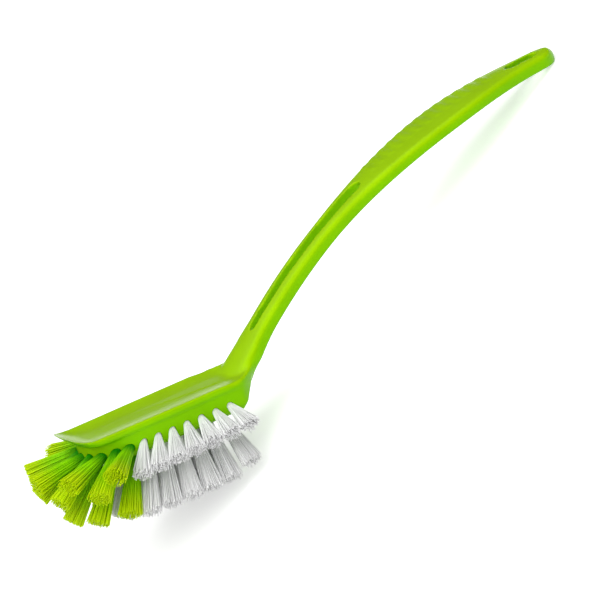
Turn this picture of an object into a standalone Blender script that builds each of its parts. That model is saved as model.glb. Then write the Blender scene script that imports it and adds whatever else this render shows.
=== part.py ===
"""Sink brush: a one-piece moulded handle and head, with bristle tufts stapled into blind holes.

Units are metres, +Z is up. The brush is modelled in its head's own coordinates: the top plate lies
in the plane z = 0, the head points to -X, the handle rises towards +X, and y = 0 is the plane of
symmetry. One empty then lays the whole brush down as it rests on a table, on the trimmed bristles
behind the middle of the head and on the end of the handle.
"""

import math
import random
from typing import NamedTuple

import bmesh
import bpy
from mathutils import Matrix, Vector

# Top plate, seen from above
PLATE_LENGTH = 0.0792
PLATE_REAR_WIDTH = 0.0362
PLATE_FRONT_WIDTH = 0.0342
SHOULDER_X = -0.003
SHOULDER_RUN = 0.013
LIP_DEPTH = 0.0115
LIP_SQUARENESS = 4.0

# Rim and tray of the top plate
RIM_HEIGHT = 0.0031
RIM_SLOPE_WIDTH = 0.0042
LIP_SLOPE_LENGTH = 0.0056
TRAY_DEPTH = 0.0009
RIM_FILLET = 0.0003
LIP_CURL = 0.0023
LIP_CURL_LENGTH = 0.010

# Lines round the tray's slope, as shares of its width, its length at the lip, its depth and the curl
TRAY_RINGS = ((1.0, 1.0, 1.0, 0.0), (0.62, 0.59, 0.70, 0.45), (0.36, 0.22, 0.13, 0.9), (0.29, 0.05, 0.0, 1.0))

# Lines down the rim's outer face, as shares of its side and lip overhang, its height and the curl
RIM_RINGS = ((0.70, 0.0, 0.10, 1.0), (0.30, 0.31, 0.44, 0.8), (0.0, 0.62, 0.76, 0.45), (0.22, 0.85, 0.95, 0.1))

# Head block under the plate
BLOCK_DEPTH = 0.0140
RIM_OVERHANG = 0.0013
LIP_OVERHANG = 0.0058
BLOCK_NOSE_DEPTH = 0.018
BLOCK_NOSE_SQUARENESS = 2.2
BLOCK_DRAFT = 0.0004
BLOCK_EDGE_ROUND = 0.0034
BLOCK_EDGE_BEVEL = 0.0010
WEB_FOOT_X = 0.0012
WEB_ANGLE = math.radians(49.0)
NECK_TUCK = 0.0009
REAR_ROUND = 0.0025

# Handle, along its spine from the neck to the tip
NECK_X = 0.0026
NECK_LIFT = 0.0006
NECK_RISE = math.radians(41.0)
TIP_RISE = math.radians(4.3)
NECK_STRAIGHT = 0.0139
BEND_RADIUS = 0.274
TIP_STRAIGHT = 0.0159
HANDLE_ROOT = 0.008
NECK_WIDTH = 0.0224
SHAFT_WIDTH = 0.0164
GRIP_WIDTH = 0.0296
TIP_WIDTH = 0.0142
NECK_THICKNESS = 0.0073
SHAFT_THICKNESS = 0.0068
GRIP_THICKNESS = 0.0058
TIP_THICKNESS = 0.0068
SHAFT_START = 0.0265
SHAFT_END = 0.0665
GRIP_FROM_TIP = 0.061
TIP_ROUND = 0.0080
TIP_EDGE_ROUND = 0.0030
TIP_FLAT = 0.00006
SHOULDER_RADIUS = 0.0028
UNDER_EDGE_RADIUS = 0.0008
CROWN = 0.0004

# Slot through the shaft and hole to hang the brush by
SLOT_START = 0.0200
SLOT_LENGTH = 0.0795
SLOT_NECK_WIDTH = 0.0045
SLOT_GRIP_WIDTH = 0.0082
HANG_HOLE_FROM_TIP = 0.0152
HANG_HOLE_LENGTH = 0.0155
HANG_HOLE_WIDTH = 0.0060

# Finger ribs on the top of the grip: from just past its middle, over its right shoulder
RIB_START_FROM_TIP = 0.0330
RIB_COUNT = 13
RIB_PITCH = 0.0054
RIB_WIDTH = 0.0032
RIB_PROUD = 0.00034
RIB_SUNK = 0.0008
RIB_END_Y = -0.0040
RIB_FADE = 0.0030
RIB_EDGE_GAP = 0.0022

# Blind holes for the tufts, and the staple in each
SOCKET_RADIUS = 0.00195
SOCKET_DEPTH = 0.0058
FIT_GAP = 0.0003
PLUG_PROUD = 0.0002
ANCHOR_WIRE = 0.0006
ANCHOR_HEIGHT = 0.0012

# Rows of tufts
TUFT_PITCH_SHARE = 0.09
FIRST_TUFT_X = -0.0077
SIDE_ROW_Z = -0.0094
SIDE_TUFTS = 7
FRONT_TUFTS = 9
LOWER_TUFTS = 6
LOWER_FRONT_TUFTS = 5
INNER_TUFTS = 6
LOWER_ROW_INSET = 0.0062
LOWER_NOSE_INSET = 0.0078
INNER_ROW_Y = 0.0031

# How the tufts stand: lean is towards the front of the head, splay away from its middle plane
SIDE_DROP = math.radians(18.0)
FRONT_HIGH_DROP = math.radians(8.0)
FRONT_LOW_DROP = math.radians(28.0)
LEAN_STEP = math.radians(6.0)
LOWER_LEAN_STEP = math.radians(6.4)
LOWER_REAR_SPLAY = math.radians(50.0)
LOWER_SPLAY = math.radians(37.0)
INNER_SPLAY = math.radians(9.0)
NOSE_LEAN = math.radians(46.0)

# Bristles
STRANDS_PER_TUFT = 9
STRAND_RADIUS = 0.00033
STRAND_SIDES = 3
STRAND_ROOT = 0.0011
ROOT_SPREAD = 0.0013
TIP_SPREAD = 0.0044
SIDE_LENGTH = 0.0208
FRONT_LENGTH = 0.0252
LOWER_REAR_LENGTH = 0.0275
LOWER_FRONT_LENGTH = 0.0318
NOSE_LENGTH = 0.0295
INNER_REAR_LENGTH = 0.0285
INNER_FRONT_LENGTH = 0.0305
LENGTH_JITTER = 0.0006
STANDING_TRIM = 0.0005

# Fineness of the round shapes
SHOULDER_POINTS = 5
UNDER_EDGE_POINTS = 3
STATION_STEP = 0.0065
RIB_STEPS = 8
SOCKET_SIDES = 7
HOLE_SIDES = 20
REAR_POINTS = 3
FLARE_POINTS = 6
FLANK_POINTS = 4
NOSE_POINTS = 8
END_POINTS = 6
SHARP_ANGLE = math.radians(35.0)
REST_ROUNDS = 30

BEND_ANGLE = NECK_RISE - TIP_RISE
HANDLE_LENGTH = NECK_STRAIGHT + BEND_RADIUS * BEND_ANGLE + TIP_STRAIGHT
GRIP_AT = HANDLE_LENGTH - GRIP_FROM_TIP
TUFT_PITCH = PLATE_LENGTH * TUFT_PITCH_SHARE
GOLDEN_ANGLE = math.pi * (3.0 - math.sqrt(5.0))
NOSE_INDEX = REAR_POINTS + FLARE_POINTS + FLANK_POINTS


class Finish(NamedTuple):
    """Name, colour and roughness of a material; none of them is metal."""

    name: str
    colour: tuple
    roughness: float


class Tuft(NamedTuple):
    """A tuft: its name, root on the head's surface, direction, free length, side and finish."""

    name: str
    root: Vector
    direction: Vector
    length: float
    mirrored: bool
    finish: Finish


LIME_PLASTIC = Finish("lime_plastic", (0.270, 0.560, 0.004), 0.35)
GREEN_FILAMENT = Finish("green_filament", (0.330, 0.620, 0.010), 0.45)
WHITE_FILAMENT = Finish("white_filament", (0.700, 0.710, 0.700), 0.45)


def clear_scene():
    """Removes the objects of the scene that the script runs in."""
    for item in list(bpy.data.objects):
        bpy.data.objects.remove(item, do_unlink=True)


def collection(name):
    """Makes a collection under the scene."""
    made = bpy.data.collections.new(name)
    bpy.context.scene.collection.children.link(made)
    return made


def material(finish):
    """Makes the Principled material of a finish, or returns the one already made."""
    found = bpy.data.materials.get(finish.name)
    if found:
        return found
    made = bpy.data.materials.new(finish.name)
    made.use_nodes = True
    shader = made.node_tree.nodes["Principled BSDF"]
    shader.inputs["Base Color"].default_value = (*finish.colour, 1.0)
    shader.inputs["Roughness"].default_value = finish.roughness
    shader.inputs["Metallic"].default_value = 0.0
    made.diffuse_color = (*finish.colour, 1.0)
    return made


def mesh_object(name, bm, into):
    """Turns a bmesh into an object of a collection, with its faces pointing out."""
    bmesh.ops.recalc_face_normals(bm, faces=bm.faces)
    mesh = bpy.data.meshes.new(name)
    bm.to_mesh(mesh)
    bm.free()
    made = bpy.data.objects.new(name, mesh)
    into.objects.link(made)
    return made


def as_tool(item):
    """Marks an object as a cutter or a filler, which isn't a piece of the brush."""
    item.hide_render = True
    item.display_type = "WIRE"
    return item


def boolean(item, tool, operation):
    """Adds an exact Boolean modifier to an object."""
    modifier = item.modifiers.new(tool.name, "BOOLEAN")
    modifier.operation = operation
    modifier.object = tool
    modifier.solver = "EXACT"


def evaluated_mesh(item):
    """Returns a new mesh with an object's modifiers worked out."""
    graph = bpy.context.evaluated_depsgraph_get()
    return bpy.data.meshes.new_from_object(item.evaluated_get(graph))


def add_loft(bm, rings):
    """Joins closed rings of equally many points into one closed skin, capped at both ends."""
    rows = [[bm.verts.new(point) for point in ring] for ring in rings]
    count = len(rows[0])
    for near, far in zip(rows, rows[1:]):
        for i in range(count):
            j = (i + 1) % count
            bm.faces.new((near[i], near[j], far[j], far[i]))
    bm.faces.new(rows[0])
    bm.faces.new(rows[-1])


def loft(rings):
    """Makes the skin of one loft."""
    bm = bmesh.new()
    add_loft(bm, rings)
    return bm


def mix(a, b, share):
    """Goes evenly from a to b as the share goes from 0 to 1."""
    return a + (b - a) * share


def ease(x, x0, x1, y0, y1):
    """Goes smoothly from y0 at x0 to y1 at x1, and stays level outside them."""
    t = min(max((x - x0) / (x1 - x0), 0.0), 1.0)
    return mix(y0, y1, t * t * (3.0 - 2.0 * t))


def signed_power(value, exponent):
    """Raises a value's size to a power and keeps its sign."""
    return math.copysign(abs(value) ** exponent, value)


def spine(s):
    """Returns the point (x, z) and the slope of the handle's middle line at the distance s."""
    x = NECK_X + 0.5 * NECK_THICKNESS * math.sin(NECK_RISE)
    z = NECK_LIFT - 0.5 * NECK_THICKNESS * math.cos(NECK_RISE)
    along = min(s, NECK_STRAIGHT)
    x += along * math.cos(NECK_RISE)
    z += along * math.sin(NECK_RISE)
    turned = min(max(s - NECK_STRAIGHT, 0.0) / BEND_RADIUS, BEND_ANGLE)
    slope = NECK_RISE - turned
    x += BEND_RADIUS * (math.sin(NECK_RISE) - math.sin(slope))
    z += BEND_RADIUS * (math.cos(slope) - math.cos(NECK_RISE))
    beyond = max(s - NECK_STRAIGHT - BEND_RADIUS * BEND_ANGLE, 0.0)
    x += beyond * math.cos(slope)
    z += beyond * math.sin(slope)
    return x, z, slope


def on_spine(s, across, above):
    """Places a point beside and above the handle's middle line."""
    x, z, slope = spine(s)
    return Vector((x - above * math.sin(slope), across, z + above * math.cos(slope)))


def end_factor(s, radius):
    """Shrinks a size to nothing over the last stretch of the handle, as a round end does."""
    into = max(s - (HANDLE_LENGTH - radius), 0.0) / radius
    return math.sqrt(max(1.0 - into * into, 0.0))


def handle_width(s):
    """Full width of the handle at the distance s along its spine."""
    if s < SHAFT_END:
        width = ease(s, 0.0, SHAFT_START, NECK_WIDTH, SHAFT_WIDTH)
    elif s < GRIP_AT:
        width = ease(s, SHAFT_END, GRIP_AT, SHAFT_WIDTH, GRIP_WIDTH)
    else:
        width = ease(s, GRIP_AT, HANDLE_LENGTH, GRIP_WIDTH, TIP_WIDTH)
    return width * end_factor(s, TIP_ROUND)


def handle_thickness(s):
    """Full thickness of the handle at the distance s along its spine."""
    if s < SHAFT_END:
        thickness = ease(s, 0.0, SHAFT_START, NECK_THICKNESS, SHAFT_THICKNESS)
    elif s < GRIP_AT:
        thickness = ease(s, SHAFT_END, GRIP_AT, SHAFT_THICKNESS, GRIP_THICKNESS)
    else:
        thickness = ease(s, GRIP_AT, HANDLE_LENGTH, GRIP_THICKNESS, TIP_THICKNESS)
    return thickness * end_factor(s, TIP_EDGE_ROUND)


def stations(start, end, step):
    """Spreads distances evenly from start to end, about a step apart."""
    count = max(round((end - start) / step), 1)
    return [start + (end - start) * i / count for i in range(count + 1)]


def handle_section(s):
    """One section of the handle, square to its spine: round shoulders, square under-edges, a crown."""
    half_width = 0.5 * handle_width(s)
    half_thickness = 0.5 * handle_thickness(s)
    shoulder = min(SHOULDER_RADIUS, half_thickness, half_width)
    under = min(UNDER_EDGE_RADIUS, half_thickness, half_width)
    crown = CROWN * half_thickness / (0.5 * GRIP_THICKNESS)
    half = []
    for i in range(UNDER_EDGE_POINTS):
        angle = 0.5 * math.pi * (i / (UNDER_EDGE_POINTS - 1) - 1.0)
        across = half_width - under + under * math.cos(angle)
        half.append((across, under - half_thickness + under * math.sin(angle)))
    for i in range(SHOULDER_POINTS):
        angle = 0.5 * math.pi * i / (SHOULDER_POINTS - 1)
        across = half_width - shoulder + shoulder * math.cos(angle)
        half.append((across, half_thickness - crown - shoulder + shoulder * math.sin(angle)))
    section = half + [(0.0, half_thickness)] + [(-across, above) for across, above in reversed(half)]
    return [on_spine(s, across, above) for across, above in section]


def build_handle(tools):
    """The handle: crowned sections along an arched spine, closed by a round end."""
    places = stations(-HANDLE_ROOT, HANDLE_LENGTH - TIP_ROUND, STATION_STEP)
    last_turn = math.asin(1.0 - TIP_FLAT / TIP_ROUND)
    for i in range(END_POINTS):
        turn = last_turn * (i + 1) / END_POINTS
        places.append(HANDLE_LENGTH - TIP_ROUND * (1.0 - math.sin(turn)))
    skin = loft([handle_section(s) for s in places])
    return as_tool(mesh_object("handle_form", skin, tools))


def plate_half_width(x):
    """Half the width of the top plate behind its rounded front, with its shoulders and neck."""
    neck = 0.5 * NECK_WIDTH - NECK_TUCK
    if x > SHOULDER_X:
        return ease(x, SHOULDER_X, SHOULDER_X + SHOULDER_RUN, 0.5 * PLATE_REAR_WIDTH, neck)
    share = (SHOULDER_X - x) / (PLATE_LENGTH + SHOULDER_X)
    return 0.5 * mix(PLATE_REAR_WIDTH, PLATE_FRONT_WIDTH, share)


def web_x(z):
    """Where the head's sloping rear face lies at the height z."""
    return WEB_FOOT_X + (z + BLOCK_DEPTH) / math.tan(WEB_ANGLE)


def wall_half_width(x, inset, overhang):
    """Half the width of a wall that is drawn in under the plate, less and less so at the neck."""
    fading = ease(x, SHOULDER_X, SHOULDER_X + SHOULDER_RUN, overhang, 0.0)
    return plate_half_width(x) - inset - fading


def head_ring(inset, overhang, front_inset, z, nose_depth, squareness, curl):
    """A level line round the head, drawn in from the plate's outline, from the rear left corner."""
    front = -PLATE_LENGTH + front_inset
    nose_x = front + nose_depth
    rear = web_x(z) - REAR_ROUND
    half = []
    for i in range(REAR_POINTS):
        turn = 0.5 * math.pi * i / REAR_POINTS
        x = rear + REAR_ROUND * math.cos(turn)
        half.append((x, wall_half_width(x, inset, overhang) - REAR_ROUND * (1.0 - math.sin(turn))))
    xs = [rear + (SHOULDER_X - rear) * i / FLARE_POINTS for i in range(FLARE_POINTS)]
    xs += [SHOULDER_X + (nose_x - SHOULDER_X) * i / FLANK_POINTS for i in range(FLANK_POINTS)]
    half += [(x, wall_half_width(x, inset, overhang)) for x in xs]
    nose_half = wall_half_width(nose_x, inset, overhang)
    for i in range(NOSE_POINTS):
        turn = 0.5 * math.pi * i / NOSE_POINTS
        x = nose_x - nose_depth * signed_power(math.sin(turn), 2.0 / squareness)
        half.append((x, nose_half * signed_power(math.cos(turn), 2.0 / squareness)))
    outline = [(x, -y) for x, y in half] + [(front, 0.0)] + [(x, y) for x, y in reversed(half)]
    ring = []
    for x, y in outline:
        reach = max(LIP_CURL_LENGTH - PLATE_LENGTH - x, 0.0) / LIP_CURL_LENGTH
        ring.append(Vector((x, y, z + curl * LIP_CURL * reach * reach)))
    return ring


def plate_rings():
    """The lines round the top plate: up the tray's slope to the crest, then down the rim's face."""
    rings = []
    for side, front, drop, curl in TRAY_RINGS:
        inset = side * RIM_SLOPE_WIDTH
        front_inset = front * LIP_SLOPE_LENGTH
        z = -drop * TRAY_DEPTH
        rings.append(head_ring(inset, 0.0, front_inset, z, LIP_DEPTH, LIP_SQUARENESS, curl))
    for side, front, drop, curl in RIM_RINGS:
        inset = side * RIM_OVERHANG
        front_inset = front * LIP_OVERHANG
        z = -drop * RIM_HEIGHT
        rings.append(head_ring(inset, 0.0, front_inset, z, LIP_DEPTH, LIP_SQUARENESS, curl))
    return rings


def block_ring(inset, z):
    """A line round the head block under the plate."""
    nose = LIP_OVERHANG + inset
    return head_ring(inset, RIM_OVERHANG, nose, z, BLOCK_NOSE_DEPTH, BLOCK_NOSE_SQUARENESS, 0.0)


def build_head_form(into):
    """The head: a flat tray with a raised rim and a curled front lip, on a block with a round edge."""
    rings = plate_rings() + [
        block_ring(0.0, -RIM_HEIGHT - RIM_FILLET),
        block_ring(BLOCK_DRAFT, -BLOCK_DEPTH + BLOCK_EDGE_ROUND),
        block_ring(BLOCK_DRAFT + BLOCK_EDGE_BEVEL, -BLOCK_DEPTH + BLOCK_EDGE_BEVEL),
        block_ring(BLOCK_DRAFT + BLOCK_EDGE_ROUND, -BLOCK_DEPTH),
    ]
    return mesh_object("handle_and_head", loft(rings), into)


def build_slot(tools):
    """The cutter of the shaft's slot: round-ended, wider at the grip, following the spine."""
    half_start = 0.5 * SLOT_NECK_WIDTH
    half_end = 0.5 * SLOT_GRIP_WIDTH
    slot_end = SLOT_START + SLOT_LENGTH
    places = []
    for i in range(END_POINTS):
        turn = 0.5 * math.pi * (i + 0.5) / END_POINTS
        places.append((SLOT_START + half_start * (1.0 - math.cos(turn)), half_start * math.sin(turn)))
    for s in stations(SLOT_START + half_start, slot_end - half_end, STATION_STEP):
        share = (s - SLOT_START) / SLOT_LENGTH
        places.append((s, half_start + (half_end - half_start) * share))
    last = places[-1][1]
    for i in reversed(range(END_POINTS)):
        turn = 0.5 * math.pi * (i + 0.5) / END_POINTS
        places.append((slot_end - half_end * (1.0 - math.cos(turn)), last * math.sin(turn)))
    reach = max(NECK_THICKNESS, SHAFT_THICKNESS, GRIP_THICKNESS)
    rings = []
    for s, half in places:
        corners = ((half, -reach), (half, reach), (-half, reach), (-half, -reach))
        rings.append([on_spine(s, across, above) for across, above in corners])
    return as_tool(mesh_object("slot_cutter", loft(rings), tools))


def build_hang_hole(tools):
    """The cutter of the hanging hole: an oblong that lies along the handle's end."""
    radius = 0.5 * HANG_HOLE_WIDTH
    straight = 0.5 * HANG_HOLE_LENGTH - radius
    reach = max(GRIP_THICKNESS, TIP_THICKNESS)
    rings = [[], []]
    for i in range(HOLE_SIDES):
        angle = 2.0 * math.pi * (i + 0.5) / HOLE_SIDES
        along = radius * math.cos(angle) + math.copysign(straight, math.cos(angle))
        across = radius * math.sin(angle)
        s = HANDLE_LENGTH - HANG_HOLE_FROM_TIP + along
        for ring, above in zip(rings, (-reach, reach)):
            ring.append(on_spine(s, across, above))
    return as_tool(mesh_object("hang_hole_cutter", loft(rings), tools))


def rib_section(s, proud):
    """One section of a rib: its foot lies inside the handle, its back follows the top and shoulder."""
    half_width = 0.5 * handle_width(s)
    edge = half_width - SHOULDER_RADIUS
    top = 0.5 * handle_thickness(s)
    centre = top - CROWN - SHOULDER_RADIUS
    back = [(RIB_END_Y, top - RIB_SUNK), (RIB_END_Y + RIB_FADE, top + proud)]
    for i in range(SHOULDER_POINTS):
        angle = 0.5 * math.pi * (1.0 - i / (SHOULDER_POINTS - 1))
        radius = SHOULDER_RADIUS + proud
        back.append((edge + radius * math.cos(angle), centre + radius * math.sin(angle)))
    foot = [(half_width - RIB_EDGE_GAP, centre), (RIB_END_Y, centre)]
    return [on_spine(s, across, above) for across, above in back + foot]


def build_ribs(tools):
    """The finger ribs: low rounded ridges across the grip, fading out at their near end."""
    bm = bmesh.new()
    for i in range(RIB_COUNT):
        middle = HANDLE_LENGTH - RIB_START_FROM_TIP - i * RIB_PITCH
        rings = []
        for j in range(RIB_STEPS + 1):
            turn = math.pi * j / RIB_STEPS
            proud = (RIB_PROUD + RIB_SUNK) * math.sin(turn) - RIB_SUNK
            rings.append(rib_section(middle - 0.5 * RIB_WIDTH * math.cos(turn), proud))
        add_loft(bm, rings)
    return as_tool(mesh_object("finger_rib_form", bm, tools))


def wall_path():
    """The left half of the line that the side row's roots follow, from the neck to the nose."""
    ring = block_ring(BLOCK_DRAFT, SIDE_ROW_Z)
    return [Vector((point.x, point.y)) for point in ring[: NOSE_INDEX + NOSE_POINTS + 1]]


def walk(path, distance):
    """Returns the point and the heading at a distance along a path of straight steps."""
    for a, b in zip(path, path[1:]):
        step = (b - a).length
        if distance <= step:
            return a.lerp(b, distance / step), (b - a).normalized()
        distance -= step
    return path[-1], (path[-1] - path[-2]).normalized()


def path_start(path, x):
    """Distance along a path at which it first reaches a given x."""
    walked = 0.0
    for a, b in zip(path, path[1:]):
        if b.x <= x <= a.x:
            return walked + (b - a).length * (a.x - x) / (a.x - b.x)
        walked += (b - a).length
    return walked


def level_direction(lean, drop):
    """Direction of a tuft in a wall: lean 0 points sideways to -Y, a quarter turn points forward."""
    return Vector((
        -math.sin(lean) * math.cos(drop),
        -math.cos(lean) * math.cos(drop),
        -math.sin(drop),
    ))


def hanging_direction(lean, splay):
    """Direction of a tuft in the underside: lean tips it forward, splay tips it to -Y."""
    direction = Vector((-math.tan(lean), -math.tan(splay), -1.0))
    return direction.normalized()


def side_row():
    """White tufts along the left wall, then green ones from there round to the nose."""
    path = wall_path()
    total = sum((b - a).length for a, b in zip(path, path[1:]))
    start = path_start(path, FIRST_TUFT_X)
    tufts = []
    for i in range(SIDE_TUFTS):
        point = walk(path, start + i * TUFT_PITCH)[0]
        direction = level_direction(i * LEAN_STEP, SIDE_DROP)
        root = Vector((point.x, point.y, SIDE_ROW_Z))
        name = f"side_tuft_left_{i + 1}"
        tufts.append(Tuft(name, root, direction, SIDE_LENGTH, False, WHITE_FILAMENT))
    first_front = start + SIDE_TUFTS * TUFT_PITCH
    pairs = (FRONT_TUFTS - 1) // 2
    first_lean = SIDE_TUFTS * LEAN_STEP
    for i in range(pairs + 1):
        share = i / pairs
        point = walk(path, first_front + (total - first_front) * share)[0]
        lean = mix(first_lean, 0.5 * math.pi, share)
        drop = FRONT_LOW_DROP if i % 2 else FRONT_HIGH_DROP
        root = Vector((point.x, point.y, SIDE_ROW_Z))
        name = f"front_tuft_left_{i + 1}" if i < pairs else "front_tuft_middle"
        direction = level_direction(lean, drop)
        tufts.append(Tuft(name, root, direction, FRONT_LENGTH, False, GREEN_FILAMENT))
    return tufts


def lower_row():
    """Tufts along the left edge of the underside, half a pitch behind the side row, then the nose."""
    nose = LIP_OVERHANG + LOWER_NOSE_INSET
    depth, squareness = BLOCK_NOSE_DEPTH, BLOCK_NOSE_SQUARENESS
    ring = head_ring(LOWER_ROW_INSET, RIM_OVERHANG, nose, -BLOCK_DEPTH, depth, squareness, 0.0)
    path = [Vector((point.x, point.y)) for point in ring[: NOSE_INDEX + NOSE_POINTS + 1]]
    total = sum((b - a).length for a, b in zip(path, path[1:]))
    start = path_start(path, FIRST_TUFT_X - 0.5 * TUFT_PITCH)
    tufts = []
    for i in range(LOWER_TUFTS):
        point = walk(path, start + i * TUFT_PITCH)[0]
        splay = LOWER_SPLAY if i else LOWER_REAR_SPLAY
        direction = hanging_direction(i * LOWER_LEAN_STEP, splay)
        length = mix(LOWER_REAR_LENGTH, LOWER_FRONT_LENGTH, i / LOWER_TUFTS)
        root = Vector((point.x, point.y, -BLOCK_DEPTH))
        name = f"lower_tuft_left_{i + 1}"
        tufts.append(Tuft(name, root, direction, length, False, WHITE_FILAMENT))
    first_front = start + LOWER_TUFTS * TUFT_PITCH
    pairs = (LOWER_FRONT_TUFTS - 1) // 2
    first_lean = LOWER_TUFTS * LOWER_LEAN_STEP
    for i in range(pairs + 1):
        share = i / pairs
        point = walk(path, first_front + (total - first_front) * share)[0]
        lean = mix(first_lean, NOSE_LEAN, share)
        splay = LOWER_SPLAY * (1.0 - share)
        root = Vector((point.x, point.y, -BLOCK_DEPTH))
        name = f"lower_front_tuft_left_{i + 1}" if i < pairs else "lower_front_tuft_middle"
        direction = hanging_direction(lean, splay)
        tufts.append(Tuft(name, root, direction, NOSE_LENGTH, False, GREEN_FILAMENT))
    return tufts


def inner_row():
    """White tufts in a row beside the middle of the underside."""
    tufts = []
    for i in range(INNER_TUFTS):
        x = FIRST_TUFT_X - (i + 1) * TUFT_PITCH
        root = Vector((x, -INNER_ROW_Y, -BLOCK_DEPTH))
        direction = hanging_direction(i * LOWER_LEAN_STEP, INNER_SPLAY)
        length = mix(INNER_REAR_LENGTH, INNER_FRONT_LENGTH, i / INNER_TUFTS)
        name = f"inner_tuft_left_{i + 1}"
        tufts.append(Tuft(name, root, direction, length, False, WHITE_FILAMENT))
    return tufts


def mirror(tuft):
    """The same tuft on the other side of the head."""
    flip = Vector((1.0, -1.0, 1.0))
    name = tuft.name.replace("_left_", "_right_")
    return tuft._replace(name=name, root=tuft.root * flip, direction=tuft.direction * flip, mirrored=True)


def all_tufts():
    """Every tuft of the head, left, middle and right."""
    left = side_row() + lower_row() + inner_row()
    return left + [mirror(tuft) for tuft in left if "_left_" in tuft.name]


def tuft_frame(tuft):
    """Placement of a tuft: its local +Z runs along the bristles, from the hole's mouth outwards."""
    along = tuft.direction
    across = along.cross(Vector((0.0, 0.0, 1.0))).normalized()
    other = along.cross(across)
    turn = Matrix((across, other, along)).transposed().to_4x4()
    return Matrix.Translation(tuft.root) @ turn


def strands(tuft):
    """The start and the end of each bristle of a tuft, spreading evenly from the hole's mouth."""
    rng = random.Random(tuft.name.replace("_right_", "_left_"))
    frame = tuft_frame(tuft)
    flip = -1.0 if tuft.mirrored else 1.0
    lines = []
    for i in range(STRANDS_PER_TUFT):
        share = math.sqrt((i + 0.5) / STRANDS_PER_TUFT)
        angle = flip * i * GOLDEN_ANGLE
        outward = Vector((flip * math.cos(angle), flip * math.sin(angle), 0.0)) * share
        length = tuft.length + rng.uniform(-LENGTH_JITTER, LENGTH_JITTER)
        grown = ROOT_SPREAD + (TIP_SPREAD - ROOT_SPREAD) * length / tuft.length
        start = frame @ (outward * ROOT_SPREAD)
        end = frame @ (outward * grown + Vector((0.0, 0.0, length)))
        lines.append((start, end))
    return lines


def build_sockets(tufts, tools):
    """One cutter for all the blind holes."""
    bm = bmesh.new()
    over = SOCKET_DEPTH
    for tuft in tufts:
        middle = Matrix.Translation((0.0, 0.0, 0.5 * (over - SOCKET_DEPTH)))
        bmesh.ops.create_cone(
            bm,
            cap_ends=True,
            segments=SOCKET_SIDES,
            radius1=SOCKET_RADIUS,
            radius2=SOCKET_RADIUS,
            depth=over + SOCKET_DEPTH,
            matrix=tuft_frame(tuft) @ middle,
        )
    return as_tool(mesh_object("socket_cutter", bm, tools))


def build_plug(tuft, into):
    """The folded root of a tuft in its hole, with the flat staple across the fold."""
    plug_radius = SOCKET_RADIUS - FIT_GAP
    staple_low = FIT_GAP - SOCKET_DEPTH
    plug_low = staple_low + 0.5 * ANCHOR_HEIGHT
    frame = tuft_frame(tuft)
    bm = bmesh.new()
    middle = Matrix.Translation((0.0, 0.0, 0.5 * (plug_low + PLUG_PROUD)))
    bmesh.ops.create_cone(
        bm,
        cap_ends=True,
        segments=SOCKET_SIDES,
        radius1=plug_radius,
        radius2=plug_radius,
        depth=PLUG_PROUD - plug_low,
        matrix=frame @ middle,
    )
    plug = mesh_object(tuft.name, bm, into)
    width = 2.0 * plug_radius * math.cos(math.pi / SOCKET_SIDES) - ANCHOR_WIRE
    size = Matrix.Diagonal((width, ANCHOR_WIRE, ANCHOR_HEIGHT, 1.0))
    middle = Matrix.Translation((0.0, 0.0, staple_low + 0.5 * ANCHOR_HEIGHT))
    bm = bmesh.new()
    bmesh.ops.create_cube(bm, size=1.0, matrix=frame @ middle @ size)
    staple = mesh_object(f"{tuft.name}_staple", bm, into)
    return plug, staple


def build_bristles(tuft, stand, into):
    """The free bristles of a tuft, rooted inside the plug and trimmed where the brush stands."""
    bm = bmesh.new()
    for start, end in strands(tuft):
        along = (end - start).normalized()
        start -= along * STRAND_ROOT
        turn = along.to_track_quat("Z", "Y").to_matrix().to_4x4()
        made = bmesh.ops.create_cone(
            bm,
            cap_ends=True,
            segments=STRAND_SIDES,
            radius1=STRAND_RADIUS,
            radius2=STRAND_RADIUS,
            depth=(end - start).length,
            matrix=Matrix.Translation((start + end) / 2.0) @ turn,
        )
        middle = (start + end) / 2.0
        for vert in made["verts"]:
            below = stand.depth_below(vert.co)
            if below > 0.0 and (vert.co - middle).dot(along) > 0.0:
                vert.co -= along * below / -along.dot(stand.up)
    return mesh_object(f"{tuft.name}_bristles", bm, into)


class Stand(NamedTuple):
    """The table's plane under the resting brush, in the head's coordinates."""

    tilt: float
    height: float

    @property
    def up(self):
        """Direction that points away from the table."""
        return Vector((-math.sin(self.tilt), 0.0, math.cos(self.tilt)))

    def depth_below(self, point):
        """How far a point lies under the table's top."""
        return self.height - self.up.dot(point)


def standing_plane(handle_points, tips):
    """Finds the plane that rests on the handle's end and cuts a little into the lowest bristles."""
    tilt = 0.5 * (NECK_RISE + TIP_RISE)
    for _ in range(REST_ROUNDS):
        up = Vector((-math.sin(tilt), 0.0, math.cos(tilt)))
        along = Vector((math.cos(tilt), 0.0, math.sin(tilt)))
        heel = min(handle_points, key=up.dot)
        tip = min(tips, key=up.dot)
        rise = up.dot(heel) - (up.dot(tip) + STANDING_TRIM)
        tilt += math.atan2(rise, along.dot(heel - tip))
    up = Vector((-math.sin(tilt), 0.0, math.cos(tilt)))
    return Stand(tilt, up.dot(heel))


def build_tuft(tuft, stand, into):
    """A tuft: bristles, root and staple fused into one solid."""
    plug, staple = build_plug(tuft, into)
    bristles = build_bristles(tuft, stand, into)
    boolean(plug, staple, "UNION")
    boolean(plug, bristles, "UNION")
    mesh = evaluated_mesh(plug)
    plug.modifiers.clear()
    plug.data = mesh
    plug.data.materials.append(material(tuft.finish))
    for spare in (staple, bristles):
        bpy.data.objects.remove(spare, do_unlink=True)
    return plug


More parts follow.
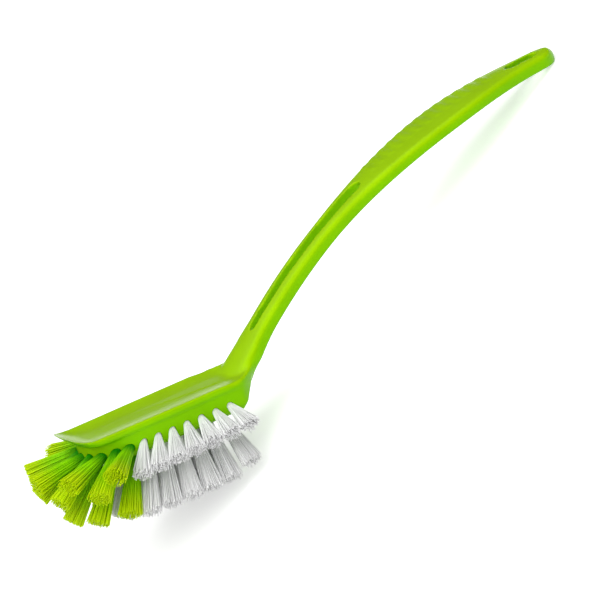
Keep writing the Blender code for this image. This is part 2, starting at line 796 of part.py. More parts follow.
def build_moulding(tufts, into, tools):
    """The moulded body: head and handle in one, with ribs, slot, hanging hole and tuft holes."""
    body = build_head_form(into)
    handle = build_handle(tools)
    boolean(handle, build_ribs(tools), "UNION")
    boolean(body, handle, "UNION")
    boolean(body, build_slot(tools), "DIFFERENCE")
    boolean(body, build_hang_hole(tools), "DIFFERENCE")
    boolean(body, build_sockets(tufts, tools), "DIFFERENCE")
    body.data.materials.append(material(LIME_PLASTIC))
    body.data.shade_smooth()
    body.data.set_sharp_from_angle(angle=SHARP_ANGLE)
    return body, handle


def lay_down(pieces, tools, stand):
    """Parents everything to an empty that tips the brush onto the table, centred on the origin."""
    rest = bpy.data.objects.new("resting_pose", None)
    bpy.context.scene.collection.objects.link(rest)
    turn = Matrix.Rotation(stand.tilt, 4, "Y")
    corners = []
    for piece in pieces:
        corners += [turn @ vert.co for vert in evaluated_mesh(piece).vertices]
    low_x = min(point.x for point in corners)
    high_x = max(point.x for point in corners)
    low_z = min(point.z for point in corners)
    rest.rotation_euler = (0.0, stand.tilt, 0.0)
    rest.location = (-0.5 * (low_x + high_x), 0.0, -low_z)
    for item in pieces + list(tools.objects):
        item.parent = rest
    return rest


def main():
    """Builds the brush."""
    clear_scene()
    parts = collection("sink_brush")
    tools = collection("cutters_and_fillers")
    tufts = all_tufts()
    body, handle = build_moulding(tufts, parts, tools)
    handle_points = [vert.co.copy() for vert in handle.data.vertices]
    tips = [end for tuft in tufts for start, end in strands(tuft)]
    stand = standing_plane(handle_points, tips)
    pieces = [body] + [build_tuft(tuft, stand, parts) for tuft in tufts]
    lay_down(pieces, tools, stand)


main()
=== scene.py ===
"""Dressed scene of the sink brush: a one-piece lime moulding with white and green bristle tufts."""

import logging
import math
from collections.abc import Iterable, Sequence
from dataclasses import dataclass
from enum import Enum, IntEnum
from functools import cache

import bmesh
import bpy
from bmesh.types import BMesh
from bpy.types import ID, Material, Mesh, Node, NodeSocket, NodeTree, Object
from mathutils import Matrix, Vector


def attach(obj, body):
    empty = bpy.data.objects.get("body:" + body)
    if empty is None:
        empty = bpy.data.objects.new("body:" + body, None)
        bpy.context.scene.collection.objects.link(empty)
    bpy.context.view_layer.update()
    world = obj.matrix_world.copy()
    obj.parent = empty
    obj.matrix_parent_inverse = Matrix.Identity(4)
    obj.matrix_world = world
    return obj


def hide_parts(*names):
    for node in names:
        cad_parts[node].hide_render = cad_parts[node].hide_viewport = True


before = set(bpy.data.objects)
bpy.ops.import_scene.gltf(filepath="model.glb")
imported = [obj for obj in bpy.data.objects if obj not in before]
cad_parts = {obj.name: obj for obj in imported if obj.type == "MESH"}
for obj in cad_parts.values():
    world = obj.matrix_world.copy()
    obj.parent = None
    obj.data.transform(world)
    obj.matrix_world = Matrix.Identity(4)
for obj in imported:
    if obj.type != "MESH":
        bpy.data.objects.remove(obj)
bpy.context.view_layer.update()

LOG = logging.getLogger("sink_brush")

QUARTER_TURN = 0.5 * math.pi
FULL_TURN = 2.0 * math.pi
GOLDEN_ANGLE = math.pi * (3.0 - math.sqrt(5.0))

Colour = tuple[float, float, float]
Profile = Sequence[tuple[float, ...]]


def mix(a: float, b: float, share: float) -> float:
    """Goes evenly from a to b as the share goes from 0 to 1."""
    return a + (b - a) * share


def ease(x: float, x0: float, x1: float, y0: float, y1: float) -> float:
    """Goes smoothly from the level y0 at x0 to the level y1 at x1."""
    t = min(max((x - x0) / (x1 - x0), 0.0), 1.0)
    return mix(y0, y1, t * t * (3.0 - 2.0 * t))


def smooth_profile(points: Profile, steps: int) -> list[tuple[float, ...]]:
    """Runs a smooth curve through the points of a profile.

    Args:
        points: The corners that the curve passes through.
        steps: How many steps it takes from each to the next.

    Returns:
        The finer profile, with the given points in it.
    """
    padded = [points[0], *points, points[-1]]
    fine = []
    for corners in zip(padded, padded[1:], padded[2:], padded[3:]):
        for t in (j / steps for j in range(steps)):
            fine.append(tuple(
                0.5 * (2 * b + (c - a) * t + (2 * a - 5 * b + 4 * c - d) * t ** 2
                       + (3 * b - a - 3 * c + d) * t ** 3)
                for a, b, c, d in zip(*corners)
            ))
    return [*fine, tuple(points[-1])]


def loft(name: str, rings: Iterable[Iterable[Vector]]) -> Object:
    """Makes an object of the closed skin over a row of rings.

    Args:
        name: The object's name.
        rings: Closed rings of equally many points, from one cap to the other.

    Returns:
        The object.
    """
    bm = bmesh.new()
    rows = [[bm.verts.new(point) for point in ring] for ring in rings]
    count = len(rows[0])
    for near, far in zip(rows, rows[1:]):
        for i in range(count):
            j = (i + 1) % count
            bm.faces.new((near[i], near[j], far[j], far[i]))
    bm.faces.new(rows[0])
    bm.faces.new(rows[-1])
    return new_object(name, bm)


def new_object(name: str, data: BMesh | ID) -> Object:
    """Makes an object and puts it into the scene.

    Args:
        name: The object's name.
        data: Its lamp, camera or mesh, or a BMesh, whose faces are turned outwards and which is freed.

    Returns:
        The object.
    """
    if isinstance(data, BMesh):
        bmesh.ops.recalc_face_normals(data, faces=data.faces)
        mesh = bpy.data.meshes.new(name)
        data.to_mesh(mesh)
        data.free()
        data = mesh
    made = bpy.data.objects.new(name, data)
    bpy.context.scene.collection.objects.link(made)
    return made


def mark_points(mesh: Mesh, name: str, values: Sequence[float | Vector]) -> None:
    """Gives the points of a mesh a named attribute.

    Args:
        mesh: The mesh.
        name: The attribute's name.
        values: A number or a vector for each point.
    """
    vectors = isinstance(values[0], Vector)
    made = mesh.attributes.new(name, "FLOAT_VECTOR" if vectors else "FLOAT", "POINT")
    for spot, value in zip(made.data, values):
        setattr(spot, "vector" if vectors else "value", value)


def modify(item: Object, name: str, kind: str, **settings: object) -> None:
    """Adds a modifier to an object.

    Args:
        item: The object.
        name: The modifier's name.
        kind: The modifier's type name.
        **settings: Properties set on it.
    """
    modifier = item.modifiers.new(name, kind)
    for key, value in settings.items():
        setattr(modifier, key, value)


def apply_modifiers(item: Object) -> None:
    """Turns an object and its modifiers into a plain mesh, and removes the modifiers.

    Args:
        item: The object.
    """
    graph = bpy.context.evaluated_depsgraph_get()
    mesh = bpy.data.meshes.new_from_object(item.evaluated_get(graph))
    item.modifiers.clear()
    old = item.data
    item.data = mesh
    bpy.data.meshes.remove(old)


class BooleanKind(Enum):
    """What one solid does to another."""

    JOIN = "UNION"
    CUT = "DIFFERENCE"


def combine(item: Object, steps: Sequence[tuple[BooleanKind, Object]]) -> None:
    """Joins solids to an object or cuts them out of it, and removes them.

    Args:
        item: The object that is changed.
        steps: What is done in turn, and with which solid.
    """
    for kind, tool in steps:
        modify(item, tool.name, "BOOLEAN", operation=kind.value, object=tool, solver="EXACT")
    apply_modifiers(item)
    for _, tool in steps:
        bpy.data.objects.remove(tool, do_unlink=True)


def run_tree(item: Object, tree: NodeTree, values: dict[str, object],
             spent: Iterable[str]) -> None:
    """Runs a geometry tree on an object and keeps the result as its plain mesh.

    Args:
        item: The object.
        tree: The geometry tree.
        values: Input values, each by its socket's name in lower case with underscores.
        spent: Attributes that are removed afterwards.
    """
    modifier = item.modifiers.new(tree.name, "NODES")
    modifier.node_group = tree
    for socket in tree.interface.items_tree:
        key = socket.name.lower().replace(" ", "_")
        if socket.in_out == "INPUT" and key in values:
            modifier[socket.identifier] = values[key]
    item.update_tag()
    apply_modifiers(item)
    for name in spent:
        if name in item.data.attributes:
            item.data.attributes.remove(item.data.attributes[name])


def hand_over(item: Object, nodes: Iterable[str],
              finish: "ResinFinish | FilamentFinish") -> None:
    """Gives every face of a piece its finish and hands the piece to the frame.

    Args:
        item: The piece.
        nodes: The frame's nodes that it replaces.
        finish: What it is made of.
    """
    mesh = item.data
    mesh.materials.clear()
    mesh.materials.append(finish.material())
    mesh.polygons.foreach_set("material_index", [0] * len(mesh.polygons))
    mesh.shade_smooth()
    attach(item, "root")
    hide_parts(*nodes)


class NodeBench:
    """Places and joins the nodes of one node tree."""

    def __init__(self, tree: NodeTree) -> None:
        """Keeps the tree that the nodes go into."""
        self.tree = tree

    @classmethod
    def for_group(cls, name: str, kind: str, inputs: dict[str, str],
                  outputs: dict[str, str]) -> "NodeBench":
        """Starts a node group with named sockets.

        Args:
            name: The group's name.
            kind: The group's type name.
            inputs: Kind of each input, by the input's name.
            outputs: Kind of each output, by the output's name.

        Returns:
            The new group's bench.
        """
        tree = bpy.data.node_groups.new(name, kind)
        for side, sockets in (("INPUT", inputs), ("OUTPUT", outputs)):
            for socket, sort in sockets.items():
                tree.interface.new_socket(name=socket, in_out=side, socket_type=f"NodeSocket{sort}")
        return cls(tree)

    @classmethod
    def for_mesh(cls, name: str, counts: Iterable[str], sizes: Iterable[str]) -> "NodeBench":
        """Starts a geometry tree, which takes a geometry and a finish.

        Args:
            name: The tree's name.
            counts: Names of its whole-number inputs.
            sizes: Names of its other number inputs.

        Returns:
            The new tree's bench.
        """
        numbers = dict.fromkeys(counts, "Int") | dict.fromkeys(sizes, "Float")
        inputs = {"Geometry": "Geometry", **numbers, "Finish": "Material"}
        return cls.for_group(name, "GeometryNodeTree", inputs, {"Geometry": "Geometry"})

    def feed(self, node: Node, feeds: dict[str | int, object]) -> None:
        """Joins or sets inputs of a node.

        Args:
            node: The node.
            feeds: The socket or value for each input, by the input's name or number.
        """
        for key, value in feeds.items():
            if isinstance(value, NodeSocket):
                self.tree.links.new(value, node.inputs[key])
            else:
                node.inputs[key].default_value = value

    def node(self, kind: str, feeds: dict[str | int, object] | None = None,
             **settings: object) -> Node:
        """Adds a node.

        Args:
            kind: The node's type name.
            feeds: What goes into its inputs.
            **settings: Properties set on it.

        Returns:
            The node.
        """
        made = self.tree.nodes.new(kind)
        for name, value in settings.items():
            setattr(made, name, value)
        self.feed(made, feeds or {})
        return made

    def math(self, operation: str, *values: object) -> NodeSocket:
        """Works out numbers."""
        return self.node("ShaderNodeMath", dict(enumerate(values)), operation=operation).outputs[0]

    def total(self, *vectors: object) -> NodeSocket:
        """Adds two vectors."""
        return self.node("ShaderNodeVectorMath", dict(enumerate(vectors)), operation="ADD").outputs[0]

    def scaled(self, vector: object, factor: object) -> NodeSocket:
        """Scales a vector by a number."""
        feeds = {0: vector, "Scale": factor}
        return self.node("ShaderNodeVectorMath", feeds, operation="SCALE").outputs[0]

    def smooth_step(self, value: object, low: object, high: object) -> NodeSocket:
        """Goes smoothly from 0 to 1 as a value goes from low to high."""
        feeds = {"Value": value, "From Min": low, "From Max": high}
        return self.node("ShaderNodeMapRange", feeds, interpolation_type="SMOOTHSTEP").outputs[0]

    def blend(self, share: object, first: object, second: object) -> NodeSocket:
        """Mixes two colours."""
        return self.node("ShaderNodeMix", {0: share, 6: first, 7: second}, data_type="RGBA").outputs[2]

    def axis(self, vector: object, number: int) -> NodeSocket:
        """Takes X, Y or Z of a vector, by its number."""
        return self.node("ShaderNodeSeparateXYZ", {0: vector}).outputs[number]

    def read(self, attribute: str, kind: str = "FLOAT") -> NodeSocket:
        """Reads a named attribute of a geometry."""
        feeds = {"Name": attribute}
        return self.node("GeometryNodeInputNamedAttribute", feeds, data_type=kind).outputs["Attribute"]

    def keep(self, geometry: NodeSocket, attribute: str, value: NodeSocket,
             kind: str = "FLOAT") -> NodeSocket:
        """Stores a named attribute on a geometry's points and returns the geometry."""
        feeds = {"Geometry": geometry, "Name": attribute, "Value": value}
        return self.node("GeometryNodeStoreNamedAttribute", feeds, data_type=kind).outputs[0]

    def give(self, geometry: NodeSocket, finish: NodeSocket) -> NodeTree:
        """Ends a geometry tree.

        Args:
            geometry: What the tree makes.
            finish: The material that it gets.

        Returns:
            The tree.
        """
        whole = self.node("GeometryNodeRealizeInstances", {0: geometry}).outputs[0]
        dressed = self.node("GeometryNodeSetMaterial", {"Geometry": whole, "Material": finish})
        self.node("NodeGroupOutput", {0: dressed.outputs[0]})
        return self.tree


def new_material(name: str, colour: Colour) -> tuple[Material, NodeBench, Node]:
    """Starts a material.

    Args:
        name: Its name.
        colour: Its plain colour.

    Returns:
        The material, the bench for its nodes, and its shader.
    """
    made = bpy.data.materials.new(name)
    made.use_nodes = True
    made.diffuse_color = (*colour, 1.0)
    return made, NodeBench(made.node_tree), made.node_tree.nodes["Principled BSDF"]


@dataclass(frozen=True)
class ResinFinish:
    """A glossy moulded plastic with painted shade on its flanks, which are deeper green than its upward
    faces, and with a faint flow mottle and a fine grain.
    """

    name: str = "lime_resin"
    slot: str = "lime_plastic"
    colour: Colour = (0.345, 0.630, 0.0004)
    # The flank colour is painted shade: a darker, greener copy of the plain colour.
    flank_colour: Colour = (0.205, 0.560, 0.0004)
    flank_edges: tuple[float, float] = (-0.15, 0.65)
    mottle_depth: float = 0.07
    mottle_edges: tuple[float, float] = (0.35, 0.70)
    mottle_size: float = 0.018
    mottle_detail: float = 3.0
    roughness: float = 0.24
    roughness_swing: float = 0.04
    specular: float = 0.40
    gloss_tint: Colour = (0.50, 1.0, 0.03)
    grain_size: float = 0.0011
    grain_detail: float = 2.0
    grain_height: float = 0.00002
    grain_strength: float = 0.5

    @cache
    def material(self) -> Material:
        """Makes the material.

        Returns:
            The material, the same one each time.
        """
        made, bench, shader = new_material(self.name, self.colour)
        places = bench.node("ShaderNodeTexCoord").outputs

        def noise(size: float, detail: float) -> NodeSocket:
            """A noise over the piece, from the size of its patches."""
            feeds = {"Vector": places["Object"], "Scale": 1.0 / size, "Detail": detail}
            return bench.node("ShaderNodeTexNoise", feeds).outputs[0]

        patches = noise(self.mottle_size, self.mottle_detail)
        # Painted shade: faces that turn away from overhead take the darker flank colour, upward faces the
        # plain colour.
        upward = bench.smooth_step(bench.axis(places["Normal"], 2), *self.flank_edges)
        colour = bench.blend(upward, (*self.flank_colour, 1.0), (*self.colour, 1.0))
        mottle = bench.smooth_step(patches, *self.mottle_edges)
        fade = bench.math("SUBTRACT", 1.0, bench.math("MULTIPLY", mottle, self.mottle_depth))
        rough = bench.node("ShaderNodeMapRange", {
            "Value": patches,
            "To Min": self.roughness - self.roughness_swing,
            "To Max": self.roughness + self.roughness_swing,
        })
        bump = bench.node("ShaderNodeBump", {
            "Distance": self.grain_height,
            "Strength": self.grain_strength,
            "Height": noise(self.grain_size, self.grain_detail),
        })
        bench.feed(shader, {
            "Base Color": bench.scaled(colour, fade),
            "Roughness": rough.outputs[0],
            "Specular IOR Level": self.specular,
            "Specular Tint": (*self.gloss_tint, 1.0),
            "Normal": bump.outputs[0],
        })
        return made


@dataclass(frozen=True)
class FilamentFinish:
    """Drawn plastic filament, with painted shade that deepens its colour at the root and painted light
    that lightens it towards the tip.
    """

    name: str
    slot: str
    # The root colour is painted shade, and the tip colour is painted light.
    root_colour: Colour
    body_colour: Colour
    tip_colour: Colour
    root_reach: float
    variation: float
    specular: float
    tip_start: float = 0.45
    roughness: float = 0.42

    @staticmethod
    @cache
    def tone_group() -> NodeTree:
        """Makes the shader group that colours a filament along its length, with painted shade at the root
        and painted light towards the tip.

        Returns:
            The group, which also sets each filament apart from its neighbours.
        """
        inputs = {"Root": "Color", "Body": "Color", "Tip": "Color",
                  "Root Reach": "Float", "Tip Start": "Float", "Variation": "Float"}
        bench = NodeBench.for_group("filament_tone", "ShaderNodeTree", inputs, {"Colour": "Color"})
        given = bench.node("NodeGroupInput").outputs
        along, shade = (bench.node("ShaderNodeAttribute", attribute_name=name).outputs["Fac"]
                        for name in ("along", "shade"))
        # Painted shade near the root, and painted light towards the tip.
        leave_root = bench.smooth_step(along, 0.0, given["Root Reach"])
        reach_tip = bench.smooth_step(along, given["Tip Start"], 1.0)
        colour = bench.blend(leave_root, given["Root"], given["Body"])
        colour = bench.blend(reach_tip, colour, given["Tip"])
        swing = bench.math("MULTIPLY", bench.math("SUBTRACT", shade, 0.5), given["Variation"])
        bench.node("NodeGroupOutput", {"Colour": bench.scaled(colour, bench.math("ADD", 1.0, swing))})
        return bench.tree

    @cache
    def material(self) -> Material:
        """Makes the material.

        Returns:
            The material, the same one each time.
        """
        made, bench, shader = new_material(self.name, self.body_colour)
        tone = bench.node("ShaderNodeGroup", {
            "Root": (*self.root_colour, 1.0),
            "Body": (*self.body_colour, 1.0),
            "Tip": (*self.tip_colour, 1.0),
            "Root Reach": self.root_reach,
            "Tip Start": self.tip_start,
            "Variation": self.variation,
        }, node_tree=self.tone_group())
        bench.feed(shader, {
            "Base Color": tone.outputs["Colour"],
            "Roughness": self.roughness,
            "Specular IOR Level": self.specular,
        })
        return made


# Each filament's root colour is painted shade, and its tip colour is painted light.
GREEN_FILAMENT = FilamentFinish(
    name="drawn_green_filament",
    slot="green_filament",
    root_colour=(0.002, 0.300, 0.002),
    body_colour=(0.300, 0.740, 0.001),
    tip_colour=(0.600, 0.820, 0.002),
    root_reach=0.42,
    variation=0.12,
    specular=0.10,
)
WHITE_FILAMENT = FilamentFinish(
    name="drawn_white_filament",
    slot="white_filament",
    root_colour=(0.800, 0.820, 0.780),
    body_colour=(0.840, 0.850, 0.840),
    tip_colour=(0.900, 0.900, 0.900),
    root_reach=0.15,
    variation=0.16,
    specular=0.35,
)


@dataclass(frozen=True)
class RestPose:
    """How the brush lies on the table: tipped about Y, then moved."""

    tilt: float = math.radians(29.334204)
    shift_x: float = -0.054651
    shift_z: float = 0.030341

    @property
    def matrix(self) -> Matrix:
        """Placement of the head's own coordinates in the world."""
        return Matrix.Translation((self.shift_x, 0.0, self.shift_z)) @ Matrix.Rotation(self.tilt, 4, "Y")


@dataclass
class Handle:
    """The handle: a crowned strip with round shoulders along an arched spine."""

    neck_x: float = 0.0026
    neck_lift: float = 0.0006
    neck_rise: float = math.radians(41.0)
    tip_rise: float = math.radians(4.3)
    neck_straight: float = 0.0139
    bend_radius: float = 0.274
    tip_straight: float = 0.0159
    root: float = 0.008
    widths: tuple[float, ...] = (0.0224, 0.0164, 0.0296, 0.0142)
    thicknesses: tuple[float, ...] = (0.0073, 0.0068, 0.0058, 0.0068)
    shaft_start: float = 0.0265
    shaft_end: float = 0.0665
    grip_from_tip: float = 0.061
    tip_round: float = 0.0080
    tip_edge_round: float = 0.0030
    shoulder_radius: float = 0.0028
    under_edge_radius: float = 0.0008
    crown: float = 0.0004
    slot_start: float = 0.0200
    slot_length: float = 0.0795
    slot_widths: tuple[float, float] = (0.0045, 0.0082)
    hole_from_tip: float = 0.0152
    hole_length: float = 0.0155
    hole_width: float = 0.0060
    station_step: float = 0.0015
    arc_points: int = 14
    end_points: int = 28

    @property
    def bend_angle(self) -> float:
        """How far the spine turns from the neck to the tip."""
        return self.neck_rise - self.tip_rise

    @property
    def length(self) -> float:
        """Length of the spine from the neck to the tip."""
        return self.neck_straight + self.bend_radius * self.bend_angle + self.tip_straight

    def spine(self, s: float) -> tuple[float, float, float]:
        """Follows the middle line.

        Args:
            s: Distance from the neck.

        Returns:
            X, z and the slope there.
        """
        rise = self.neck_rise
        along = min(s, self.neck_straight)
        x = self.neck_x + 0.5 * self.thicknesses[0] * math.sin(rise) + along * math.cos(rise)
        z = self.neck_lift - 0.5 * self.thicknesses[0] * math.cos(rise) + along * math.sin(rise)
        slope = rise - min(max(s - self.neck_straight, 0.0) / self.bend_radius, self.bend_angle)
        x += self.bend_radius * (math.sin(rise) - math.sin(slope))
        z += self.bend_radius * (math.cos(slope) - math.cos(rise))
        beyond = max(s - self.neck_straight - self.bend_radius * self.bend_angle, 0.0)
        return x + beyond * math.cos(slope), z + beyond * math.sin(slope), slope

    def place(self, s: float, across: float, above: float) -> Vector:
        """Places a point beside and above the middle line."""
        x, z, slope = self.spine(s)
        return Vector((x - above * math.sin(slope), across, z + above * math.cos(slope)))

    def half_size(self, s: float, sizes: Sequence[float], end_round: float) -> float:
        """Half a size that goes from neck to shaft to grip to tip, and to nothing at the round end.

        Args:
            s: Distance along the spine.
            sizes: The size at the neck, the shaft, the grip and the tip.
            end_round: Length of the round end.

        Returns:
            Half the size at s.
        """
        neck, shaft, grip, tip = sizes
        grip_at = self.length - self.grip_from_tip
        if s < self.shaft_end:
            size = ease(s, 0.0, self.shaft_start, neck, shaft)
        elif s < grip_at:
            size = ease(s, self.shaft_end, grip_at, shaft, grip)
        else:
            size = ease(s, grip_at, self.length, grip, tip)
        into = max(s - (self.length - end_round), 0.0) / end_round
        return 0.5 * (size * math.sqrt(max(1.0 - into * into, 0.0)))

    def section(self, s: float) -> list[Vector]:
        """Makes one section: round shoulders, nearly square under-edges and a crowned top.

        Args:
            s: Distance along the spine.

        Returns:
            The section's points.
        """
        wide = self.half_size(s, self.widths, self.tip_round)
        high = self.half_size(s, self.thicknesses, self.tip_edge_round)
        shoulder = min(self.shoulder_radius, high, wide)
        under = min(self.under_edge_radius, high, wide)
        crown = self.crown * high / (0.5 * self.thicknesses[2])
        half = []
        arcs = ((under, under - high, -1.0), (shoulder, high - crown - shoulder, 0.0))
        for radius, level, first in arcs:
            for i in range(self.arc_points):
                angle = QUARTER_TURN * (i / (self.arc_points - 1) + first)
                half.append((wide - radius + radius * math.cos(angle), level + radius * math.sin(angle)))
        for i in range(1, self.arc_points):
            left = 1.0 - i / self.arc_points
            half.append(((wide - shoulder) * left, high - crown * left ** 2))
        ring = half + [(0.0, high)] + [(-across, above) for across, above in reversed(half)]
        return [self.place(s, across, above) for across, above in ring]

    def stations(self, start: float, end: float) -> list[float]:
        """Spreads distances evenly from start to end."""
        count = max(round((end - start) / self.station_step), 1)
        return [mix(start, end, i / count) for i in range(count + 1)]

    def build(self) -> Object:
        """Makes the handle's solid.

        Returns:
            The solid, without its openings.
        """
        places = self.stations(-self.root, self.length - self.tip_round)
        for i in range(self.end_points):
            turn = QUARTER_TURN * (i + 1) / (self.end_points + 0.5)
            places.append(self.length - self.tip_round * (1.0 - math.sin(turn)))
        return loft("handle_solid", [self.section(s) for s in places])

    def build_slot(self) -> Object:
        """Makes the cutter of the long slot, round at both ends and wider at the grip.

        Returns:
            The cutter.
        """
        half_start, half_end = (0.5 * width for width in self.slot_widths)
        end = self.slot_start + self.slot_length
        turns = [QUARTER_TURN * (i + 0.5) / self.end_points for i in range(self.end_points)]
        places = [(self.slot_start + half_start * (1.0 - math.cos(turn)), half_start * math.sin(turn))
                  for turn in turns]
        places += [(s, mix(half_start, half_end, (s - self.slot_start) / self.slot_length))
                   for s in self.stations(self.slot_start + half_start, end - half_end)]
        last = places[-1][1]
        places += [(end - half_end * (1.0 - math.cos(turn)), last * math.sin(turn))
                   for turn in reversed(turns)]
        reach = max(self.thicknesses)
        return loft("slot_cutter", [
            [self.place(s, half * side, reach * face)
             for side, face in ((1.0, -1.0), (1.0, 1.0), (-1.0, 1.0), (-1.0, -1.0))]
            for s, half in places
        ])

    def build_hang_hole(self) -> Object:
        """Makes the cutter of the oblong hanging hole.

        Returns:
            The cutter.
        """
        radius = 0.5 * self.hole_width
        straight = 0.5 * self.hole_length - radius
        reach = max(self.thicknesses)
        sides = 4 * self.arc_points
        rings = [[], []]
        for i in range(sides):
            angle = FULL_TURN * (i + 0.5) / sides
            along = radius * math.cos(angle) + math.copysign(straight, math.cos(angle))
            s = self.length - self.hole_from_tip + along
            for ring, above in zip(rings, (-reach, reach)):
                ring.append(self.place(s, radius * math.sin(angle), above))
        return loft("hang_hole_cutter", rings)


@dataclass
class Head:
    """The head: a rimmed tray with a curled front lip, on a block whose lower edge is round."""

    plate_length: float = 0.0792
    rear_width: float = 0.0362
    front_width: float = 0.0342
    shoulder_x: float = -0.001
    shoulder_run: float = 0.0145
    shoulder_delay: float = 0.0012
    sweep_x: float = -0.0025
    sweep_rate: float = 18.0
    lip_depth: float = 0.0115
    lip_squareness: float = 4.0
    rim_height: float = 0.0031
    rim_fillet: float = 0.0003
    lip_curl: float = 0.0023
    lip_curl_length: float = 0.010
    tray_profile: Profile = (
        (0.0125, 0.0150, -0.00130, 0.0),
        (0.0090, 0.0105, -0.00112, 0.28),
        (0.0060, 0.0068, -0.00084, 0.55),
        (0.0034, 0.0036, -0.00046, 0.80),
        (0.0016, 0.0011, -0.00010, 0.93),
        (0.0012, 0.0003, 0.0, 1.0),
    )
    rim_profile: Profile = ((0.70, 0.0, 0.10, 1.0), (0.30, 0.31, 0.44, 0.8), (0.0, 0.62, 0.76, 0.45),
                            (0.22, 0.85, 0.95, 0.1))
    block_depth: float = 0.0140
    rim_overhang: float = 0.0006
    lip_overhang: float = 0.0058
    nose_depth: float = 0.018
    nose_squareness: float = 2.2
    block_draft: float = 0.0004
    block_edge_round: float = 0.0034
    web_foot_x: float = -0.0020
    web_angle: float = math.radians(43.0)
    neck_half_width: float = 0.0103
    neck_inset: float = 0.0042
    rear_round: float = 0.0015
    counts: tuple[int, ...] = (10, 30, 60, 40)
    profile_steps: int = 6
    edge_steps: int = 8

    def depth_share(self, z: float) -> float:
        """How far down the block a height lies, from 0 at the rim's foot to 1 at the underside."""
        return min(max((-z - self.rim_height) / (self.block_depth - self.rim_height), 0.0), 1.0)

    def half_width(self, x: float, z: float) -> float:
        """Works out half the plate's width behind its rounded front, with its shoulders and neck.

        Args:
            x: Place along the head.
            z: Height, because the shoulders start later further down.

        Returns:
            Half the width.
        """
        shoulder = self.shoulder_x + self.shoulder_delay * self.depth_share(z)
        if x > shoulder:
            end = shoulder + self.shoulder_run
            return ease(x, shoulder, end, 0.5 * self.rear_width, self.neck_half_width)
        share = max(self.shoulder_x - x, 0.0) / (self.plate_length + self.shoulder_x)
        return 0.5 * mix(self.rear_width, self.front_width, share)

    def upsweep(self, x: float, z: float) -> float:
        """How far a point behind the tray is raised, as the plate's edge curves up into the neck."""
        beyond = max(x - self.sweep_x, 0.0)
        return self.sweep_rate * beyond * beyond * (1.0 - self.depth_share(z))

    def ring(self, side_inset: float, overhang: float, front_inset: float, z: float, depth: float,
             squareness: float, curl: float, counts: tuple[int, ...] | None = None) -> list[Vector]:
        """Makes a level line round the head, from its rear left corner.

        Args:
            side_inset: How far it is drawn in from the plate's sides.
            overhang: How far it is drawn in besides, which fades out towards the neck.
            front_inset: How far it is drawn in from the plate's front.
            z: Its height.
            depth: Length of its rounded front.
            squareness: Exponent of the rounded front.
            curl: Share of the front lip's curl that it takes.
            counts: Points on the rear corner, the flare, the flank and the nose, or the head's own.

        Returns:
            The points of the line.
        """
        corner, flare, flank, nose = counts or self.counts
        front = -self.plate_length + front_inset
        nose_x = front + depth
        rear = self.web_foot_x + (z + self.block_depth) / math.tan(self.web_angle) - self.rear_round
        extra = overhang + max(side_inset - self.neck_inset, 0.0)

        def wall(x: float) -> float:
            """Half the line's width at x."""
            fading = ease(x, self.shoulder_x, self.shoulder_x + self.shoulder_run, extra, 0.0)
            return self.half_width(x, z) - min(side_inset, self.neck_inset) - fading

        half = []
        for turn in (QUARTER_TURN * i / corner for i in range(corner)):
            x = rear + self.rear_round * math.cos(turn)
            half.append((x, wall(x) - self.rear_round * (1.0 - math.sin(turn))))
        half += [(x, wall(x)) for x in (mix(rear, self.shoulder_x, i / flare) for i in range(flare))]
        half += [(x, wall(x)) for x in (mix(self.shoulder_x, nose_x, i / flank) for i in range(flank))]
        power = 2.0 / squareness
        for turn in (QUARTER_TURN * i / nose for i in range(nose)):
            x = nose_x - depth * math.sin(turn) ** power
            half.append((x, wall(nose_x) * math.cos(turn) ** power))
        points = []
        for x, y in [(x, -y) for x, y in half] + [(front, 0.0)] + half[::-1]:
            reach = max(self.lip_curl_length - self.plate_length - x, 0.0) / self.lip_curl_length
            rise = curl * self.lip_curl * reach * reach + self.upsweep(x, z)
            points.append(Vector((x, y, z + rise)))
        return points

    def block_ring(self, inset: float, z: float, extra_front: float = 0.0,
                   counts: tuple[int, ...] | None = None) -> list[Vector]:
        """Makes a line round the block, drawn in from its top edge, and by some more at the front."""
        return self.ring(inset, self.rim_overhang, self.lip_overhang + (inset + extra_front), z,
                         self.nose_depth, self.nose_squareness, 0.0, counts)

    def build(self) -> Object:
        """Makes the head's solid.

        Returns:
            The solid, which later takes the handle in.
        """
        lines = [*self.tray_profile]
        lines += [(side * self.rim_overhang, front * self.lip_overhang, -drop * self.rim_height, curl)
                  for side, front, drop, curl in self.rim_profile]
        rings = [self.ring(side, 0.0, front, z, self.lip_depth, self.lip_squareness, curl)
                 for side, front, z, curl in smooth_profile(lines, self.profile_steps)]
        rings.append(self.block_ring(0.0, -self.rim_height - self.rim_fillet))
        radius = self.block_edge_round
        for i in range(self.edge_steps + 1):
            turn = QUARTER_TURN * i / self.edge_steps
            inset = self.block_draft + radius * (1.0 - math.cos(turn))
            rings.append(self.block_ring(inset, -self.block_depth + radius * (1.0 - math.sin(turn))))
        return loft("handle_and_head_moulding", rings)


class TuftRow(Enum):
    """The rows that the tufts stand in, from the tail of the head to its nose."""

    SIDE = "side"
    FRONT = "front"
    LOWER = "lower"
    LOWER_FRONT = "lower_front"
    INNER = "inner"


@dataclass
class Tuft:
    """One tuft: its node's name, its row, its root on the head, its direction and its free length."""

    node: str
    row: TuftRow
    root: Vector
    direction: Vector
    length: float

    @property
    def mirrored(self) -> "Tuft":
        """The same tuft on the other side of the head."""
        node, flip = self.node.replace("_left_", "_right_"), Vector((1.0, -1.0, 1.0))
        return Tuft(node, self.row, self.root * flip, self.direction * flip, self.length)

    @property
    def axes(self) -> tuple[Vector, Vector]:
        """Two directions square to the tuft and to each other."""
        across = self.direction.cross(Vector((0.0, 0.0, 1.0))).normalized()
        return across, self.direction.cross(across)


